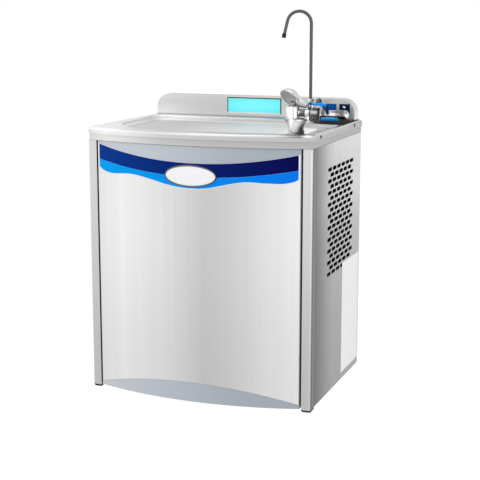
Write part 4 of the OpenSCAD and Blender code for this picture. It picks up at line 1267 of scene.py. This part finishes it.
class FOUNTAIN_OT_lever(bpy.types.Operator):
    """Build the press lever with its curled end, and the dome cap that fixes it"""

    bl_idname = "fountain.lever"
    bl_label = "Lever"
    bl_options = UNDOABLE

    def execute(self, context):
        place = Vector((VALVE_X, BUBBLER.y, LEVER_PIVOT))
        turn = Matrix.Rotation(LEVER_TURN, 3, "Z")
        wide = context.scene.fountain_sizes.lever_width / MM
        lever, cap = Shape(), Shape()
        outline = [(-5, 0.5), (-5, 5.0)] + [(17 + 9 * s, -4 + 9 * c) for s, c in quarter(9)]
        outline += [(26, -15.0), (25.2, -16), (22.3, -16), (21.5, -15), (19.5, -10.5), (16.5, -5.6),
                    (13.2, -1.9), (10.0, 0.1), (7.5, 0.5)]
        lever.slab([(along, -wide / 2, up) for along, up in outline], BACK * wide)
        bmesh.ops.recalc_face_normals(lever.bm, faces=lever.bm.faces)
        rims = [e for e in lever.bm.edges if len({round(v.co.y, 3) for v in e.verts}) == 1]
        lever.round_edges(rims, 1.1)
        lever.turned([(1.56, -3.9), (3.4, -3.9), (3.4, 3.9), (1.56, 3.9), (1.56, -3.9)],
                     (-9, 0, 0), BACK, 32)
        lever.box((-8.4, -3.7, 1.2), (-4, 3.7, 4.6), 0.5)
        lever.put(turn, place)
        lever.piece("press_lever", "lever_blue", "bubbler_lever", ["bubbler_lever"], "lever_blue")
        cap.turned([(0, 8.2), (2.2, 7.9), (3.9, 6.9), (5.0, 5.3), (5.5, 3.6), (5.5, 0.6), (5.1, 0), (0, 0)],
                   place + turn @ Vector((8, 0, 5)), steps=32)
        cap.piece("lever_dome", "tap_dome", "bubbler_lever", ["bubbler_lever_cap"], "tap_chrome")
        return {"FINISHED"}


class FOUNTAIN_OT_filler(bpy.types.Operator):
    """Build the glass filler's body with its flange and barrel, its collar, lever sleeve and paddle"""

    bl_idname = "fountain.filler"
    bl_label = "Glass Filler"
    bl_options = UNDOABLE

    def execute(self, context):
        x, y = FILLER
        body, collar, sleeve, paddle = Shape(), Shape(), Shape(), Shape()
        body.turned([(0, 0), (13, 0), (13, 1.6), (12.4, 2.6), (11.6, 3.4), (11, 4.4), (11, 33.5), (10.4, 35),
                     (8.6, 38), (8, 39), (3.3, 39), (3.3, 30), (0, 30)], (x, y, DECK_TOP))
        body.turned([(0, 0), (8, 0), (8, 19.2), (7.2, 20), (5, 20), (5, 64.5), (9, 64.5), (9, 72.4),
                     (8.4, 74.4), (6.8, 76.2), (4.4, 77.2), (0, 77.4)], (x, y, BARREL), RIGHT)
        body.turned([(0, -40), (6, -40), (6, 1), (0, 1)], (x, y, DECK_TOP), steps=32)
        body.piece("filler_casting", "tap_barrel", replaces=["filler_body"], slot="tap_chrome")
        collar.turned([(3.26, 39), (6.6, 39), (7, 39.5), (7, 44.6), (6.2, 45.6), (4.2, 46), (3.26, 46),
                       (3.26, 39)], (x, y, DECK_TOP))
        collar.piece("tube_collar", "tap_chrome", replaces=["filler_collar"], slot="tap_chrome")
        low, high = cad_box("filler_lever_hub")
        length = high.x - low.x
        sleeve.turned([(5.06, 0), (8.2, 0), (9, 0.8), (9, length * 0.3), (8.4, length * 0.33),
                       (8.4, length * 0.67), (9, length * 0.7), (9, length - 0.8), (8.2, length),
                       (5.06, length), (5.06, 0)], (low.x, y, BARREL), RIGHT)
        sleeve.piece("lever_sleeve", "tap_barrel", "filler_lever", ["filler_lever_hub"], "tap_chrome")
        paddle.box(*cad_box("filler_paddle"), 1.4, 3)
        paddle.piece("paddle", "paddle_blue", "filler_lever", ["filler_paddle"], "lever_blue")
        return {"FINISHED"}


class FOUNTAIN_OT_gooseneck(bpy.types.Operator):
    """Build the bent filler tube and its black tip"""

    bl_idname = "fountain.gooseneck"
    bl_label = "Gooseneck"
    bl_options = UNDOABLE

    def execute(self, context):
        sizes = context.scene.fountain_sizes
        radius, bend = 3.175, sizes.bend_radius / MM
        heading, turn, steps = math.radians(201), math.radians(167), 40
        foot, start = DECK_TOP + 9.5, 702.0
        way = Vector((math.cos(heading), math.sin(heading), 0))
        side = UP.cross(way)
        origin = Vector((*FILLER, 0))
        path = [origin + UP * (foot + i * (start - foot) / 12) for i in range(12)]
        for a in (turn * i / steps for i in range(steps + 1)):
            path.append(origin + way * (bend * (1 - math.cos(a))) + UP * (start + bend * math.sin(a)))
        last = way * math.sin(turn) + UP * math.cos(turn)
        end = path[-1]
        path += [end + last * d for d in (10, 20, 30)]
        tube, tip = Shape(), Shape()

        def rings(outer):
            made = []
            for i, point in enumerate(path):
                along = (path[min(i + 1, len(path) - 1)] - path[max(i - 1, 0)]).normalized()
                made.append(tube.oval(point, side.cross(along) * outer, side * outer, 32))
            return made

        outside, inside = rings(radius), rings(radius - sizes.tube_wall / MM)
        tube.skin(outside + inside[::-1] + [outside[0]])
        tube.piece("filler_tube", "tube_steel", "gooseneck", ["gooseneck"], "tube_steel")
        tip.turned([(2.3, 34), (3.6, 34), (4.2, 33.2), (4.2, 26.6), (3.8, 25.4), (3.2, 25), (3.2, 29.9),
                    (2.3, 30), (2.3, 34)], end, last, 32)
        tip.piece("tube_tip", "black_plastic", "gooseneck", ["gooseneck_tip"], "black_plastic")
        return {"FINISHED"}


class FOUNTAIN_OT_drain(bpy.types.Operator):
    """Build the drain's flange with the tail below it"""

    bl_idname = "fountain.drain"
    bl_label = "Drain"
    bl_options = UNDOABLE

    def execute(self, context):
        flange = Shape()
        flange.turned([(14, -70), (16, -70), (16, -32), (21.5, -26), (21.5, 0), (25.4, 0), (26, 0.4),
                       (25.4, 1.1), (24, 1.4), (21, 1.2), (19.6, 0.4), (19.5, -1), (17.5, -1), (17.5, -24),
                       (14, -29), (14, -70)], (*DRAIN, FLOOR), steps=64)
        flange.piece("drain_flange", "bright_steel", replaces=["waste_body"], slot="waste_steel")
        return {"FINISHED"}


def background_share(nodes):
    """1 for what the camera, metal and glass see, and 0 for the light on the object."""
    rays = nodes.node("ShaderNodeLightPath").outputs
    camera, glossy, through = (
        Value(nodes, rays[name]) for name in ("Is Camera Ray", "Is Glossy Ray", "Is Transmission Ray")
    )
    return (camera + glossy + through).between(0.0, 1.0)


def add_object(name, data):
    """A new object in the scene."""
    obj = bpy.data.objects.new(name, data)
    bpy.context.scene.collection.objects.link(obj)
    return obj


def build_floor(height):
    """A wide pale floor that the camera sees lighter than the object does."""
    bm = bmesh.new()
    bmesh.ops.create_grid(bm, x_segments=1, y_segments=1, size=30)
    bmesh.ops.translate(bm, vec=(0, 0, height), verts=bm.verts)
    mesh = bpy.data.meshes.new("studio_floor")
    bm.to_mesh(mesh)
    bm.free()
    f = Finish("floor_white", Base_Color=(0.86, 0.86, 0.86, 1), Roughness=0.9)
    glow = f.node("ShaderNodeEmission", {}, {"Color": WHITE, "Strength": 1.1})
    f.lay(background_share(f) * 0.8, glow)
    mesh.materials.append(f.material)
    return add_object("studio_floor", mesh)


def build_world(strength):
    """An even light of that strength from all round, which shows as plain white."""
    world = bpy.data.worlds.new("studio")
    world.use_nodes = True
    nodes = Nodes(world.node_tree)
    light, seen = (
        nodes.node("ShaderNodeBackground", {}, {"Color": WHITE, "Strength": s}) for s in (strength, 1.0)
    )
    nodes.node("ShaderNodeOutputWorld", {}, {"Surface": nodes.mixed(background_share(nodes), light, seen)})
    return world


class FOUNTAIN_OT_stage(bpy.types.Operator):
    """Build the pale floor, soft lamps, white surround and the camera at the photograph's place"""

    bl_idname = "fountain.stage"
    bl_label = "Stage"
    bl_options = UNDOABLE

    def execute(self, context):
        scene, studio = context.scene, context.scene.fountain_studio
        floor = build_floor(studio.floor_height)
        scene.world = build_world(studio.surround)
        aim = Vector((0, -0.15, -0.1))
        for name, place, size, power in (
            ("key_lamp", (-1.8, -2.4, 1.6), 2.2, studio.key_power),
            ("fill_lamp", (2.2, -1.8, 0.6), 2.2, studio.fill_power),
            ("top_lamp", (0.0, -0.6, 2.4), 2.0, studio.top_power),
        ):
            data = bpy.data.lights.new(name, "AREA")
            data.shape, data.size, data.energy = "SQUARE", size, power
            lamp = add_object(name, data)
            lamp.location = place
            lamp.rotation_euler = (aim - lamp.location).to_track_quat("-Z", "Y").to_euler()
        focal_pixels, frame_pixels, film_width = 1154, 480, 36
        downward, heading = 10.18, 21.07
        data = bpy.data.cameras.new("photo_camera")
        data.sensor_width = film_width
        data.lens = focal_pixels / frame_pixels * film_width
        data.shift_y = -0.05
        scene.camera = add_object("photo_camera", data)
        scene.camera.location = (0.833, -2.259, 0.290)
        scene.camera.rotation_euler = (math.radians(90 - downward), 0, math.radians(heading))
        scene.view_settings.view_transform = "Standard"
        return {"FINISHED"}


GROUPS = {
    "fountain_sizes": FountainSizes, "fountain_colours": FountainColours, "fountain_studio": FountainStudio,
}
STEPS = (
    FOUNTAIN_OT_dress, FOUNTAIN_OT_deck, FOUNTAIN_OT_splash, FOUNTAIN_OT_display, FOUNTAIN_OT_plates,
    FOUNTAIN_OT_front, FOUNTAIN_OT_badge, FOUNTAIN_OT_screws, FOUNTAIN_OT_bubbler, FOUNTAIN_OT_hood,
    FOUNTAIN_OT_valve, FOUNTAIN_OT_spring, FOUNTAIN_OT_lever, FOUNTAIN_OT_filler, FOUNTAIN_OT_gooseneck,
    FOUNTAIN_OT_drain, FOUNTAIN_OT_stage,
)


class FOUNTAIN_PT_panel(bpy.types.Panel):
    """Lists the settings and the steps in the sidebar"""

    bl_label = "Fountain"
    bl_idname = "FOUNTAIN_PT_panel"
    bl_space_type = "VIEW_3D"
    bl_region_type = "UI"
    bl_category = "Fountain"

    def draw(self, context):
        for name, group in GROUPS.items():
            box = self.layout.box()
            for key in group.__annotations__:
                box.prop(getattr(context.scene, name), key)
        column = self.layout.column()
        for step in STEPS:
            column.operator(step.bl_idname)


CLASSES = (*GROUPS.values(), *STEPS, FOUNTAIN_PT_panel)


def register():
    """Registers the classes and the settings."""
    for cls in CLASSES:
        bpy.utils.register_class(cls)
    for name, group in GROUPS.items():
        setattr(bpy.types.Scene, name, PointerProperty(type=group))


def unregister():
    """Removes the settings and the classes."""
    for name in GROUPS:
        delattr(bpy.types.Scene, name)
    for cls in reversed(CLASSES):
        bpy.utils.unregister_class(cls)


def main():
    """Builds everything."""
    register()
    for step in STEPS:
        getattr(bpy.ops.fountain, step.bl_idname.split(".")[1])()


if __name__ == "__main__":
    main()
